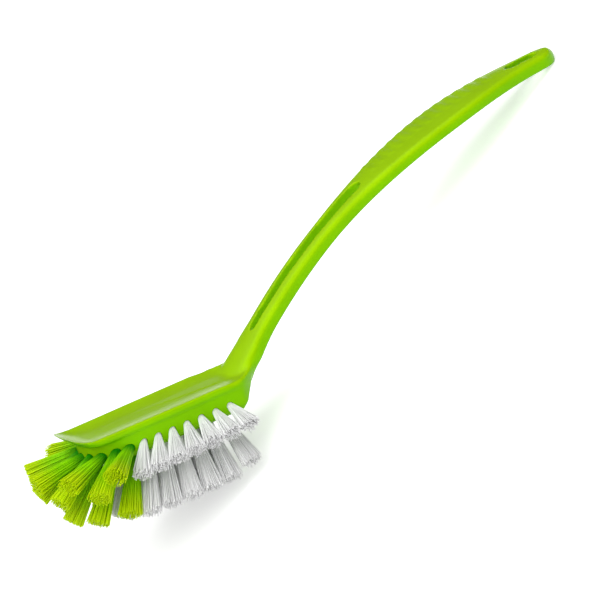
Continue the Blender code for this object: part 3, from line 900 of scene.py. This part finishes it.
@dataclass
class TuftPlan:
    """Where the tufts stand and how they lean."""

    head: Head
    pitch_share: float = 0.09
    first_x: float = -0.0077
    side_row_z: float = -0.0094
    side_tufts: int = 7
    front_tufts: int = 9
    lower_tufts: int = 6
    lower_front_tufts: int = 5
    inner_count: int = 6
    lower_row_inset: float = 0.0062
    lower_nose_inset: float = 0.0078
    inner_row_y: float = 0.0031
    side_drops: tuple[float, float] = (math.radians(19.0), math.radians(29.0))
    front_drops: tuple[float, float] = (math.radians(8.0), math.radians(28.0))
    lean_step: float = math.radians(6.0)
    lower_lean_step: float = math.radians(6.4)
    lower_rear_splay: float = math.radians(50.0)
    lower_splay: float = math.radians(37.0)
    inner_splay: float = math.radians(9.0)
    nose_lean: float = math.radians(46.0)
    side_length: float = 0.0188
    front_length: float = 0.0252
    lower_lengths: tuple[float, float] = (0.0275, 0.0318)
    nose_length: float = 0.0295
    inner_lengths: tuple[float, float] = (0.0285, 0.0305)
    counts: tuple[int, ...] = (3, 6, 4, 8)

    @property
    def pitch(self) -> float:
        """Distance from tuft to tuft along a row."""
        return self.head.plate_length * self.pitch_share

    def roots(self, ring: list[Vector], z: float, first_x: float, straight: int,
              curved: int) -> tuple[list[Vector], list[Vector]]:
        """Spaces out tufts along the left half of a line round the head.

        Args:
            ring: The line.
            z: Height of the roots.
            first_x: Where the rear-most tuft stands.
            straight: How many stand behind the nose.
            curved: How many stand round the nose, on both sides of the head together.

        Returns:
            The roots behind the nose and, from there to its middle, those round it.
        """
        path = [Vector((point.x, point.y)) for point in ring[: sum(self.counts) + 1]]
        edges = [(a, b, (b - a).length) for a, b in zip(path, path[1:])]
        start = 0.0
        for a, b, step in edges:
            if b.x <= first_x <= a.x:
                start += step * (a.x - first_x) / (a.x - b.x)
                break
            start += step

        def walk(distance: float) -> Vector:
            """Finds a root on the line.

            Args:
                distance: How far along the line it is.

            Returns:
                The root.
            """
            for a, b, step in edges:
                if distance <= step:
                    return Vector((*a.lerp(b, distance / step), z))
                distance -= step
            return Vector((*path[-1], z))

        end = sum(step for _, _, step in edges)
        pairs = (curved - 1) // 2
        return ([walk(start + i * self.pitch) for i in range(straight)],
                [walk(mix(start + straight * self.pitch, end, i / pairs)) for i in range(pairs + 1)])

    @staticmethod
    def level(lean: float, drop: float) -> Vector:
        """Direction of a tuft in a wall, from how far it leans forward and drops."""
        out = math.cos(drop)
        return Vector((-math.sin(lean) * out, -math.cos(lean) * out, -math.sin(drop)))

    @staticmethod
    def hanging(lean: float, splay: float) -> Vector:
        """Direction of a tuft in the underside, from how far it leans forward and splays out."""
        return Vector((-math.tan(lean), -math.tan(splay), -1.0)).normalized()

    def wall_tufts(self) -> Iterable[tuple[TuftRow, Vector, Vector, float]]:
        """Goes along the left wall's white tufts, then its green ones round to the nose.

        Yields:
            Row, root, direction and length of each tuft.
        """
        ring = self.head.block_ring(self.head.block_draft, self.side_row_z, counts=self.counts)
        side, front = self.roots(ring, self.side_row_z, self.first_x, self.side_tufts, self.front_tufts)
        for i, root in enumerate(side):
            drop = mix(*self.side_drops, i / (self.side_tufts - 1))
            yield TuftRow.SIDE, root, self.level(i * self.lean_step, drop), self.side_length
        for i, root in enumerate(front):
            lean = mix(self.side_tufts * self.lean_step, QUARTER_TURN, i / (len(front) - 1))
            yield TuftRow.FRONT, root, self.level(lean, self.front_drops[i % 2]), self.front_length

    def underside_tufts(self) -> Iterable[tuple[TuftRow, Vector, Vector, float]]:
        """Goes along the underside's left edge, round its nose, and along the row inside them.

        Yields:
            Row, root, direction and length of each tuft.
        """
        z = -self.head.block_depth
        nose_inset = self.lower_nose_inset - self.lower_row_inset
        ring = self.head.block_ring(self.lower_row_inset, z, nose_inset, self.counts)
        edge, nose = self.roots(ring, z, self.first_x - 0.5 * self.pitch, self.lower_tufts,
                                self.lower_front_tufts)
        for i, root in enumerate(edge):
            splay = self.lower_splay if i else self.lower_rear_splay
            length = mix(*self.lower_lengths, i / self.lower_tufts)
            yield TuftRow.LOWER, root, self.hanging(i * self.lower_lean_step, splay), length
        for i, root in enumerate(nose):
            share = i / (len(nose) - 1)
            lean = mix(self.lower_tufts * self.lower_lean_step, self.nose_lean, share)
            direction = self.hanging(lean, self.lower_splay * (1.0 - share))
            yield TuftRow.LOWER_FRONT, root, direction, self.nose_length
        for i in range(self.inner_count):
            root = Vector((self.first_x - (i + 1) * self.pitch, -self.inner_row_y, z))
            length = mix(*self.inner_lengths, i / self.inner_count)
            yield TuftRow.INNER, root, self.hanging(i * self.lower_lean_step, self.inner_splay), length

    def all_tufts(self) -> list[Tuft]:
        """Names every tuft of the head as its node in the frame is named.

        Returns:
            The tufts on the left and in the middle, then those on the right.
        """
        ends = {TuftRow.FRONT: self.front_tufts, TuftRow.LOWER_FRONT: self.lower_front_tufts}
        numbers = dict.fromkeys(TuftRow, 0)
        left = []
        for row, root, direction, length in (*self.wall_tufts(), *self.underside_tufts()):
            numbers[row] += 1
            middle = 2 * numbers[row] > ends.get(row, math.inf)
            place = "middle" if middle else f"left_{numbers[row]}"
            left.append(Tuft(f"{row.value}_tuft_{place}", row, root, direction, length))
        return left + [tuft.mirrored for tuft in left if "_left_" in tuft.node]


@dataclass
class FingerRibs:
    """The low ridges on the grip's top, which fade out towards its near edge."""

    start_from_tip: float = 0.0330
    count: int = 13
    pitch: float = 0.0054
    width: float = 0.0040
    height: float = 0.00020
    end_y: float = -0.0040
    fade: float = 0.0030
    facing_low: float = -0.1
    facing_high: float = 0.5

    @staticmethod
    def tree() -> NodeTree:
        """Makes the geometry tree that raises the ridges on a finished skin.

        Returns:
            The tree.
        """
        sizes = ("Start", "Pitch", "Width", "Height", "End Y", "Fade", "Facing Low", "Facing High",
                 "Last")
        bench = NodeBench.for_mesh("finger_ribs", (), sizes)
        given = bench.node("NodeGroupInput").outputs
        distance, across, upward = (bench.read(name) for name in ("distance", "across", "upward"))
        turns = bench.math("DIVIDE", bench.math("SUBTRACT", given["Start"], distance), given["Pitch"])
        nearest = bench.math("MAXIMUM", bench.math("ROUND", turns), 0.0)
        nearest = bench.math("MINIMUM", nearest, given["Last"])
        off = bench.math("ABSOLUTE", bench.math("SUBTRACT", turns, nearest))
        part = bench.math("DIVIDE", bench.math("MULTIPLY", off, given["Pitch"]),
                          bench.math("MULTIPLY", given["Width"], 0.5))
        turn = bench.math("MULTIPLY", bench.math("MINIMUM", part, 1.0), QUARTER_TURN)
        begun = bench.math("DIVIDE", bench.math("SUBTRACT", across, given["End Y"]), given["Fade"])
        facing = bench.smooth_step(upward, given["Facing Low"], given["Facing High"])
        swell = bench.math("MULTIPLY", bench.math("COSINE", turn), bench.smooth_step(begun, 0.0, 1.0))
        rise = bench.math("MULTIPLY", swell, bench.math("MULTIPLY", facing, given["Height"]))
        normal = bench.node("GeometryNodeInputNormal").outputs[0]
        offset = bench.scaled(normal, rise)
        moved = bench.node("GeometryNodeSetPosition", {"Geometry": given["Geometry"], "Offset": offset})
        return bench.give(moved.outputs[0], given["Finish"])

    def raise_on(self, skin: Object, handle: Handle, finish: ResinFinish) -> None:
        """Raises the ridges on a moulding that is still in the head's own coordinates.

        Args:
            skin: The moulding.
            handle: The handle that its grip belongs to.
            finish: The moulding's finish.
        """
        start = handle.length - self.start_from_tip
        line = [(s, *handle.spine(s))
                for s in handle.stations(start - self.count * self.pitch, start + self.pitch)]
        off_grip = (0.0, 0.0, -1.0)
        spots = []
        for vert in skin.data.vertices:
            point = vert.co
            if point.x < line[0][1] - self.pitch:
                spots.append(off_grip)
                continue
            s, x, z, slope = min(line, key=lambda spot: abs(point.x - spot[1]))
            step = (point.x - x) * math.cos(slope) + (point.z - z) * math.sin(slope)
            upward = vert.normal.z * math.cos(slope) - vert.normal.x * math.sin(slope)
            spots.append((s + step, point.y, upward))
        names = ("distance", "across", "upward")
        for name, values in zip(names, zip(*spots)):
            mark_points(skin.data, name, values)
        values = {"start": start, "last": float(self.count - 1), "finish": finish.material()}
        run_tree(skin, self.tree(), vars(self) | values, names)


@dataclass
class Moulding:
    """The one-piece body: head and handle with slot, hanging hole, ribs and tuft holes."""

    head: Head
    handle: Handle
    ribs: FingerRibs
    plan: TuftPlan
    rest: RestPose
    voxel: float = 0.00050
    smoothing: float = 0.5
    even_rounds: int = 3
    neck_rounds: int = 80
    neck_reach: tuple[float, float, float, float] = (-0.010, -0.001, 0.011, 0.016)
    neck_floor: tuple[float, float] = (-0.0045, -0.0015)
    hole_radius: float = 0.00175
    front_hole_radius: float = 0.00235
    hole_depth: float = 0.0058
    hole_sides: int = 28
    sharp_angle: float = math.radians(42.0)

    def hole_cutter(self) -> Object:
        """Makes one cutter for all the blind holes of the tufts.

        Returns:
            The cutter.
        """
        bm = bmesh.new()
        for tuft in self.plan.all_tufts():
            turn = Matrix((*tuft.axes, tuft.direction)).transposed().to_4x4()
            radius = self.front_hole_radius if tuft.row is TuftRow.FRONT else self.hole_radius
            bmesh.ops.create_cone(
                bm, cap_ends=True, segments=self.hole_sides, radius1=radius, radius2=radius,
                depth=2.0 * self.hole_depth, matrix=Matrix.Translation(tuft.root) @ turn,
            )
        return new_object("tuft_hole_cutter", bm)

    def soften(self, skin: Object) -> None:
        """Evens out the skin, and draws a fillet where the tray runs up into the neck.

        Args:
            skin: The moulding.
        """
        low, start, end, high = self.neck_reach
        group = skin.vertex_groups.new(name="neck_fillet")
        for vert in skin.data.vertices:
            weight = ease(vert.co.x, low, start, 0.0, 1.0) * ease(vert.co.x, end, high, 1.0, 0.0)
            weight *= ease(vert.co.z, *self.neck_floor, 0.0, 1.0)
            if weight > 0.0:
                group.add([vert.index], weight, "REPLACE")
        modify(skin, "even_skin", "SMOOTH", factor=self.smoothing, iterations=self.even_rounds)
        modify(skin, "neck_fillet", "SMOOTH", factor=self.smoothing, iterations=self.neck_rounds,
               vertex_group=group.name)
        apply_modifiers(skin)
        skin.vertex_groups.clear()

    def build(self, finish: ResinFinish) -> Object:
        """Makes the body and hands it to the frame.

        Args:
            finish: The plastic that it is moulded in.

        Returns:
            The body.
        """
        skin = self.head.build()
        combine(skin, [
            (BooleanKind.JOIN, self.handle.build()),
            (BooleanKind.CUT, self.handle.build_slot()),
            (BooleanKind.CUT, self.handle.build_hang_hole()),
        ])
        modify(skin, "even_mesh", "REMESH", mode="VOXEL", voxel_size=self.voxel, use_smooth_shade=True)
        apply_modifiers(skin)
        self.soften(skin)
        self.ribs.raise_on(skin, self.handle, finish)
        combine(skin, [(BooleanKind.CUT, self.hole_cutter())])
        skin.data.transform(self.rest.matrix)
        hand_over(skin, ["handle_and_head"], finish)
        skin.data.set_sharp_from_angle(angle=self.sharp_angle)
        return skin


class Draw(IntEnum):
    """The random numbers that each filament draws, as offsets to its field's seed."""

    ACROSS = 1
    OTHER = 2
    LENGTH = 3
    SHADE = 4


@dataclass(frozen=True)
class TuftForm:
    """What the tufts of a row are made of, how wide they fan out and how uneven their tips are."""

    finish: FilamentFinish
    tip_radius: float
    tip_depth: float
    root_radius: float
    length_jitter: float


TUFT_FORMS = {
    TuftRow.SIDE: TuftForm(WHITE_FILAMENT, 0.0048, 0.0034, 0.0012, 0.0015),
    TuftRow.FRONT: TuftForm(GREEN_FILAMENT, 0.0058, 0.0044, 0.0020, 0.0005),
    TuftRow.LOWER: TuftForm(WHITE_FILAMENT, 0.0048, 0.0036, 0.0016, 0.0015),
    TuftRow.LOWER_FRONT: TuftForm(GREEN_FILAMENT, 0.0056, 0.0045, 0.0017, 0.0005),
    TuftRow.INNER: TuftForm(WHITE_FILAMENT, 0.0043, 0.0043, 0.0017, 0.0013),
}


@dataclass
class BristleField:
    """The tufts of one row on one side of the head, grown by one geometry tree."""

    name: str
    tufts: list[Tuft]
    form: TuftForm
    rest: RestPose
    seed: int
    filaments: int = 150
    filament_radius: float = 0.00021
    sides: int = 5
    points: int = 7
    sink: float = 0.0016
    stray: float = 0.0004
    shortest: float = -1.3
    longest: float = 0.5
    fold_sides: int = 20
    fold_depth: float = 0.0030
    fold_shift: float = -0.00248
    table_gap: float = 0.00004
    turn_step: float = 2.7

    @staticmethod
    @cache
    def tree() -> NodeTree:
        """Makes the geometry tree that grows filaments from the tufts' roots.

        Returns:
            The tree, the same one each time.
        """
        counts = ("Filaments", "Sides", "Points", "Fold Sides", "Seed")
        sizes = ("Filament Radius", "Root Radius", "Tip Radius", "Tip Depth", "Sink", "Stray", "Shortest",
                 "Longest", "Length Jitter", "Fold Depth", "Fold Shift", "Table Gap")
        bench = NodeBench.for_mesh("bristle_field", counts, sizes)
        given = bench.node("NodeGroupInput").outputs

        def chance(draw: Draw, low: object, high: object) -> NodeSocket:
            """A random number for each filament."""
            feeds = {2: low, 3: high, "Seed": bench.math("ADD", given["Seed"], int(draw))}
            return bench.node("FunctionNodeRandomValue", feeds, data_type="FLOAT").outputs[1]

        def aim(name: str) -> NodeSocket:
            """One of the vectors that the roots carry."""
            return bench.read(name, "FLOAT_VECTOR")

        feeds = {"Geometry": given["Geometry"], "Amount": given["Filaments"]}
        spread = bench.node("GeometryNodeDuplicateElements", feeds, domain="POINT")
        index = spread.outputs["Duplicate Index"]
        share = bench.math("DIVIDE", bench.math("ADD", index, 0.5), given["Filaments"])
        share = bench.math("SQRT", share)
        angle = bench.math("ADD", bench.math("MULTIPLY", index, GOLDEN_ANGLE), bench.read("turn"))
        across = bench.scaled(aim("across"), bench.math("MULTIPLY", share, bench.math("COSINE", angle)))
        other = bench.scaled(aim("other"), bench.math("MULTIPLY", share, bench.math("SINE", angle)))
        fan = bench.total(bench.scaled(across, given["Tip Radius"]),
                          bench.scaled(other, given["Tip Depth"]))
        strays = [bench.scaled(aim(draw.name.lower()),
                               bench.math("MULTIPLY", chance(draw, -1.0, 1.0), given["Stray"]))
                  for draw in (Draw.ACROSS, Draw.OTHER)]
        jitter = chance(Draw.LENGTH, given["Shortest"], given["Longest"])
        jitter = bench.math("MULTIPLY", jitter, given["Length Jitter"])
        vectors = {
            "root": bench.node("GeometryNodeInputPosition").outputs[0],
            "root_offset": bench.scaled(bench.total(across, other), given["Root Radius"]),
            "tip_offset": bench.total(fan, bench.total(*strays)),
        }
        numbers = {
            "grown": bench.math("ADD", bench.read("length"), jitter),
            "shade": chance(Draw.SHADE, 0.0, 1.0),
        }
        points = spread.outputs["Geometry"]
        for kind, marks in (("FLOAT_VECTOR", vectors), ("FLOAT", numbers)):
            for name, value in marks.items():
                points = bench.keep(points, name, value, kind)

        line = bench.node("GeometryNodeCurvePrimitiveLine").outputs[0]
        fine = bench.node("GeometryNodeResampleCurve", {"Curve": line, "Count": given["Points"]})
        feeds = {"Points": points, "Instance": fine.outputs[0]}
        planted = bench.node("GeometryNodeInstanceOnPoints", feeds)
        curves = bench.node("GeometryNodeRealizeInstances", {0: planted.outputs[0]}).outputs[0]

        along = bench.node("GeometryNodeSplineParameter").outputs["Factor"]
        run = bench.math("MULTIPLY", along, bench.math("ADD", bench.read("grown"), given["Sink"]))
        reach = bench.math("SUBTRACT", run, given["Sink"])
        widening = bench.node("ShaderNodeVectorMath", {0: aim("tip_offset"), 1: aim("root_offset")},
                              operation="SUBTRACT").outputs[0]
        place = bench.total(aim("root"), aim("root_offset"))
        place = bench.total(place, bench.scaled(aim("direction"), reach))
        place = bench.total(place, bench.scaled(widening, along))
        lowest = bench.math("ADD", given["Filament Radius"], given["Table Gap"])
        lifted = bench.node("ShaderNodeCombineXYZ", {
            0: bench.axis(place, 0),
            1: bench.axis(place, 1),
            2: bench.math("MAXIMUM", bench.axis(place, 2), lowest),
        }).outputs[0]
        moved = bench.node("GeometryNodeSetPosition", {"Geometry": curves, "Position": lifted})
        profile = bench.node("GeometryNodeCurvePrimitiveCircle", {
            "Resolution": given["Sides"],
            "Radius": given["Filament Radius"],
        })
        tubes = bench.node("GeometryNodeCurveToMesh", {
            "Curve": bench.keep(moved.outputs[0], "along", along),
            "Profile Curve": profile.outputs[0],
            "Fill Caps": True,
        })

        # The folds carry no along value, so they take the root colour, which is painted shade.
        fold = bench.node("GeometryNodeMeshCylinder", {
            "Vertices": given["Fold Sides"],
            "Radius": given["Root Radius"],
            "Depth": given["Fold Depth"],
        })
        sunk = bench.node("GeometryNodeSetPosition", {
            "Geometry": given["Geometry"],
            "Offset": bench.scaled(aim("direction"), given["Fold Shift"]),
        })
        turned = bench.node("FunctionNodeAlignRotationToVector", {"Vector": aim("direction")}, axis="Z")
        folds = bench.node("GeometryNodeInstanceOnPoints", {
            "Points": sunk.outputs[0],
            "Instance": fold.outputs["Mesh"],
            "Rotation": turned.outputs[0],
        })
        both = bench.node("GeometryNodeJoinGeometry", {0: folds.outputs[0]})
        bench.feed(both, {0: tubes.outputs[0]})
        return bench.give(both.outputs[0], given["Finish"])

    def build(self) -> Object:
        """Sets a point at each tuft's root, grows the filaments and hands the piece to the frame.

        Returns:
            The piece.
        """
        matrix = self.rest.matrix
        mesh = bpy.data.meshes.new(self.name)
        mesh.from_pydata([matrix @ tuft.root for tuft in self.tufts], [], [])
        turn = matrix.to_3x3()
        marks = {
            "direction": [turn @ tuft.direction for tuft in self.tufts],
            "across": [turn @ tuft.axes[0] for tuft in self.tufts],
            "other": [turn @ tuft.axes[1] for tuft in self.tufts],
            "length": [tuft.length for tuft in self.tufts],
            "turn": [(i * self.turn_step + self.seed) % FULL_TURN for i in range(len(self.tufts))],
        }
        for name, values in marks.items():
            mark_points(mesh, name, values)
        field = new_object(self.name, mesh)
        spent = (*marks, "root", "root_offset", "tip_offset", "grown")
        values = vars(self) | vars(self.form) | {"finish": self.form.finish.material()}
        run_tree(field, self.tree(), values, spent)
        hand_over(field, [tuft.node for tuft in self.tufts], self.form.finish)
        return field


@dataclass
class PhotoCamera:
    """The camera at the photograph's viewing angle, far off with a long lens."""

    rest: RestPose
    right: tuple[float, float, float] = (0.863, -0.411, -0.294)
    up: tuple[float, float, float] = (0.374, 0.129, 0.918)
    pixels_per_metre: float = 2317.0
    picture_size: float = 600.0
    head_pixel: tuple[float, float] = (223.31, 373.88)
    distance: float = 6.0
    sensor: float = 36.0
    clip: tuple[float, float] = (0.1, 50.0)

    def build(self) -> None:
        """Makes the camera and gives it to the scene."""
        right = Vector(self.right).normalized()
        up = Vector(self.up)
        up = (up - right * up.dot(right)).normalized()
        back = right.cross(up)
        aside = (0.5 * self.picture_size - self.head_pixel[0]) / self.pixels_per_metre
        raised = (self.head_pixel[1] - 0.5 * self.picture_size) / self.pixels_per_metre
        turn = Matrix((right, up, back)).transposed().to_4x4()
        place = Matrix.Translation(right * aside + up * raised + back * self.distance)
        data = bpy.data.cameras.new("photo_camera")
        data.sensor_width = self.sensor
        data.lens = self.sensor * self.distance * self.pixels_per_metre / self.picture_size
        data.clip_start, data.clip_end = self.clip
        made = new_object("photo_camera", data)
        made.matrix_world = self.rest.matrix @ place @ turn
        bpy.context.scene.camera = made


@dataclass(frozen=True)
class SoftLight:
    """One large soft lamp that looks at the brush."""

    name: str
    place: tuple[float, float, float]
    size: float
    power: float

    def build(self) -> None:
        """Makes the lamp."""
        data = bpy.data.lights.new(self.name, "AREA")
        data.shape = "SQUARE"
        data.size = self.size
        data.energy = self.power
        made = new_object(self.name, data)
        made.location = self.place
        made.rotation_mode = "QUATERNION"
        made.rotation_quaternion = Vector(self.place).to_track_quat("Z", "Y")


@dataclass
class Studio:
    """A plain pale floor, a white surround and soft lamps."""

    floor_size: float = 4.0
    floor_colour: Colour = (0.86, 0.86, 0.86)
    floor_roughness: float = 0.9
    floor_lift: float = 0.55
    horizon: float = 0.06
    overhead: float = 0.85
    sky_edges: tuple[float, float] = (0.45, 0.95)
    white: tuple[float, float, float, float] = (1.0, 1.0, 1.0, 1.0)
    lamps: tuple[SoftLight, ...] = (
        SoftLight("key_light", (-0.2, -0.5, 1.9), 2.6, 29.0),
        SoftLight("front_light", (-0.6, -1.9, 0.9), 1.8, 21.0),
    )

    def build_floor(self) -> None:
        """Makes the floor, which looks white where it isn't shaded."""
        bm = bmesh.new()
        bmesh.ops.create_grid(bm, x_segments=1, y_segments=1, size=0.5 * self.floor_size)
        floor = new_object("floor", bm)
        made, bench, shader = new_material("floor_paper", self.floor_colour)
        path = bench.node("ShaderNodeLightPath").outputs
        seen = bench.math("MAXIMUM", path["Is Camera Ray"], path["Is Glossy Ray"])
        seen = bench.math("MAXIMUM", seen, path["Is Transmission Ray"])
        bench.feed(shader, {
            "Base Color": (*self.floor_colour, 1.0),
            "Roughness": self.floor_roughness,
            "Specular IOR Level": 0.0,
            "Emission Color": self.white,
            "Emission Strength": bench.math("MULTIPLY", seen, self.floor_lift),
        })
        floor.data.materials.append(made)

    def build_world(self) -> None:
        """Makes the white surround, which lights the brush from overhead more than from the side."""
        world = bpy.data.worlds.new("studio_surround")
        world.use_nodes = True
        bench = NodeBench(world.node_tree)
        heading = bench.axis(bench.node("ShaderNodeTexCoord").outputs["Generated"], 2)
        height = bench.smooth_step(heading, *self.sky_edges)
        light = bench.math("MULTIPLY_ADD", height, self.overhead - self.horizon, self.horizon)
        path = bench.node("ShaderNodeLightPath").outputs
        seen = bench.math("MAXIMUM", path["Is Camera Ray"], path["Is Transmission Ray"])
        seen = bench.math("MAXIMUM", seen, bench.math("MULTIPLY", path["Is Glossy Ray"], height))
        strength = bench.math("MAXIMUM", light, seen)
        bench.feed(world.node_tree.nodes["Background"], {"Color": self.white, "Strength": strength})
        bpy.context.scene.world = world

    def build(self) -> None:
        """Makes the floor, the surround and the lamps."""
        self.build_floor()
        self.build_world()
        for lamp in self.lamps:
            lamp.build()
        bpy.context.scene.view_settings.view_transform = "Standard"


@dataclass
class SinkBrush:
    """The whole brush: the moulding and its fields of bristles."""

    rest: RestPose
    head: Head
    handle: Handle
    ribs: FingerRibs
    first_seed: int = 11
    seed_step: int = 10

    def fields(self, plan: TuftPlan) -> list[BristleField]:
        """Groups the tufts into fields by row and side.

        Args:
            plan: Where the tufts stand.

        Returns:
            The fields.
        """
        groups: dict[tuple[TuftRow, str], list[Tuft]] = {}
        for tuft in plan.all_tufts():
            side = "right" if "_right_" in tuft.node else "left"
            groups.setdefault((tuft.row, side), []).append(tuft)
        made = []
        for number, ((row, side), tufts) in enumerate(groups.items()):
            name = f"{row.value}_bristles_{side}"
            seed = self.first_seed + self.seed_step * number
            made.append(BristleField(name, tufts, TUFT_FORMS[row], self.rest, seed))
        return made

    def build(self) -> list[Object]:
        """Builds every piece of the brush.

        Returns:
            The pieces.
        """
        plan = TuftPlan(self.head)
        moulding = Moulding(self.head, self.handle, self.ribs, plan, self.rest)
        return [moulding.build(ResinFinish()), *(field.build() for field in self.fields(plan))]


def main() -> None:
    """Builds the brush, its studio and its camera."""
    logging.basicConfig(level=logging.INFO, format="%(message)s")
    rest = RestPose()
    PhotoCamera(rest).build()
    for piece in SinkBrush(rest, Head(), Handle(), FingerRibs()).build():
        piece.data.calc_loop_triangles()
        LOG.info("%s: %d triangles", piece.name, len(piece.data.loop_triangles))
    Studio().build()


if __name__ == "__main__":
    main()
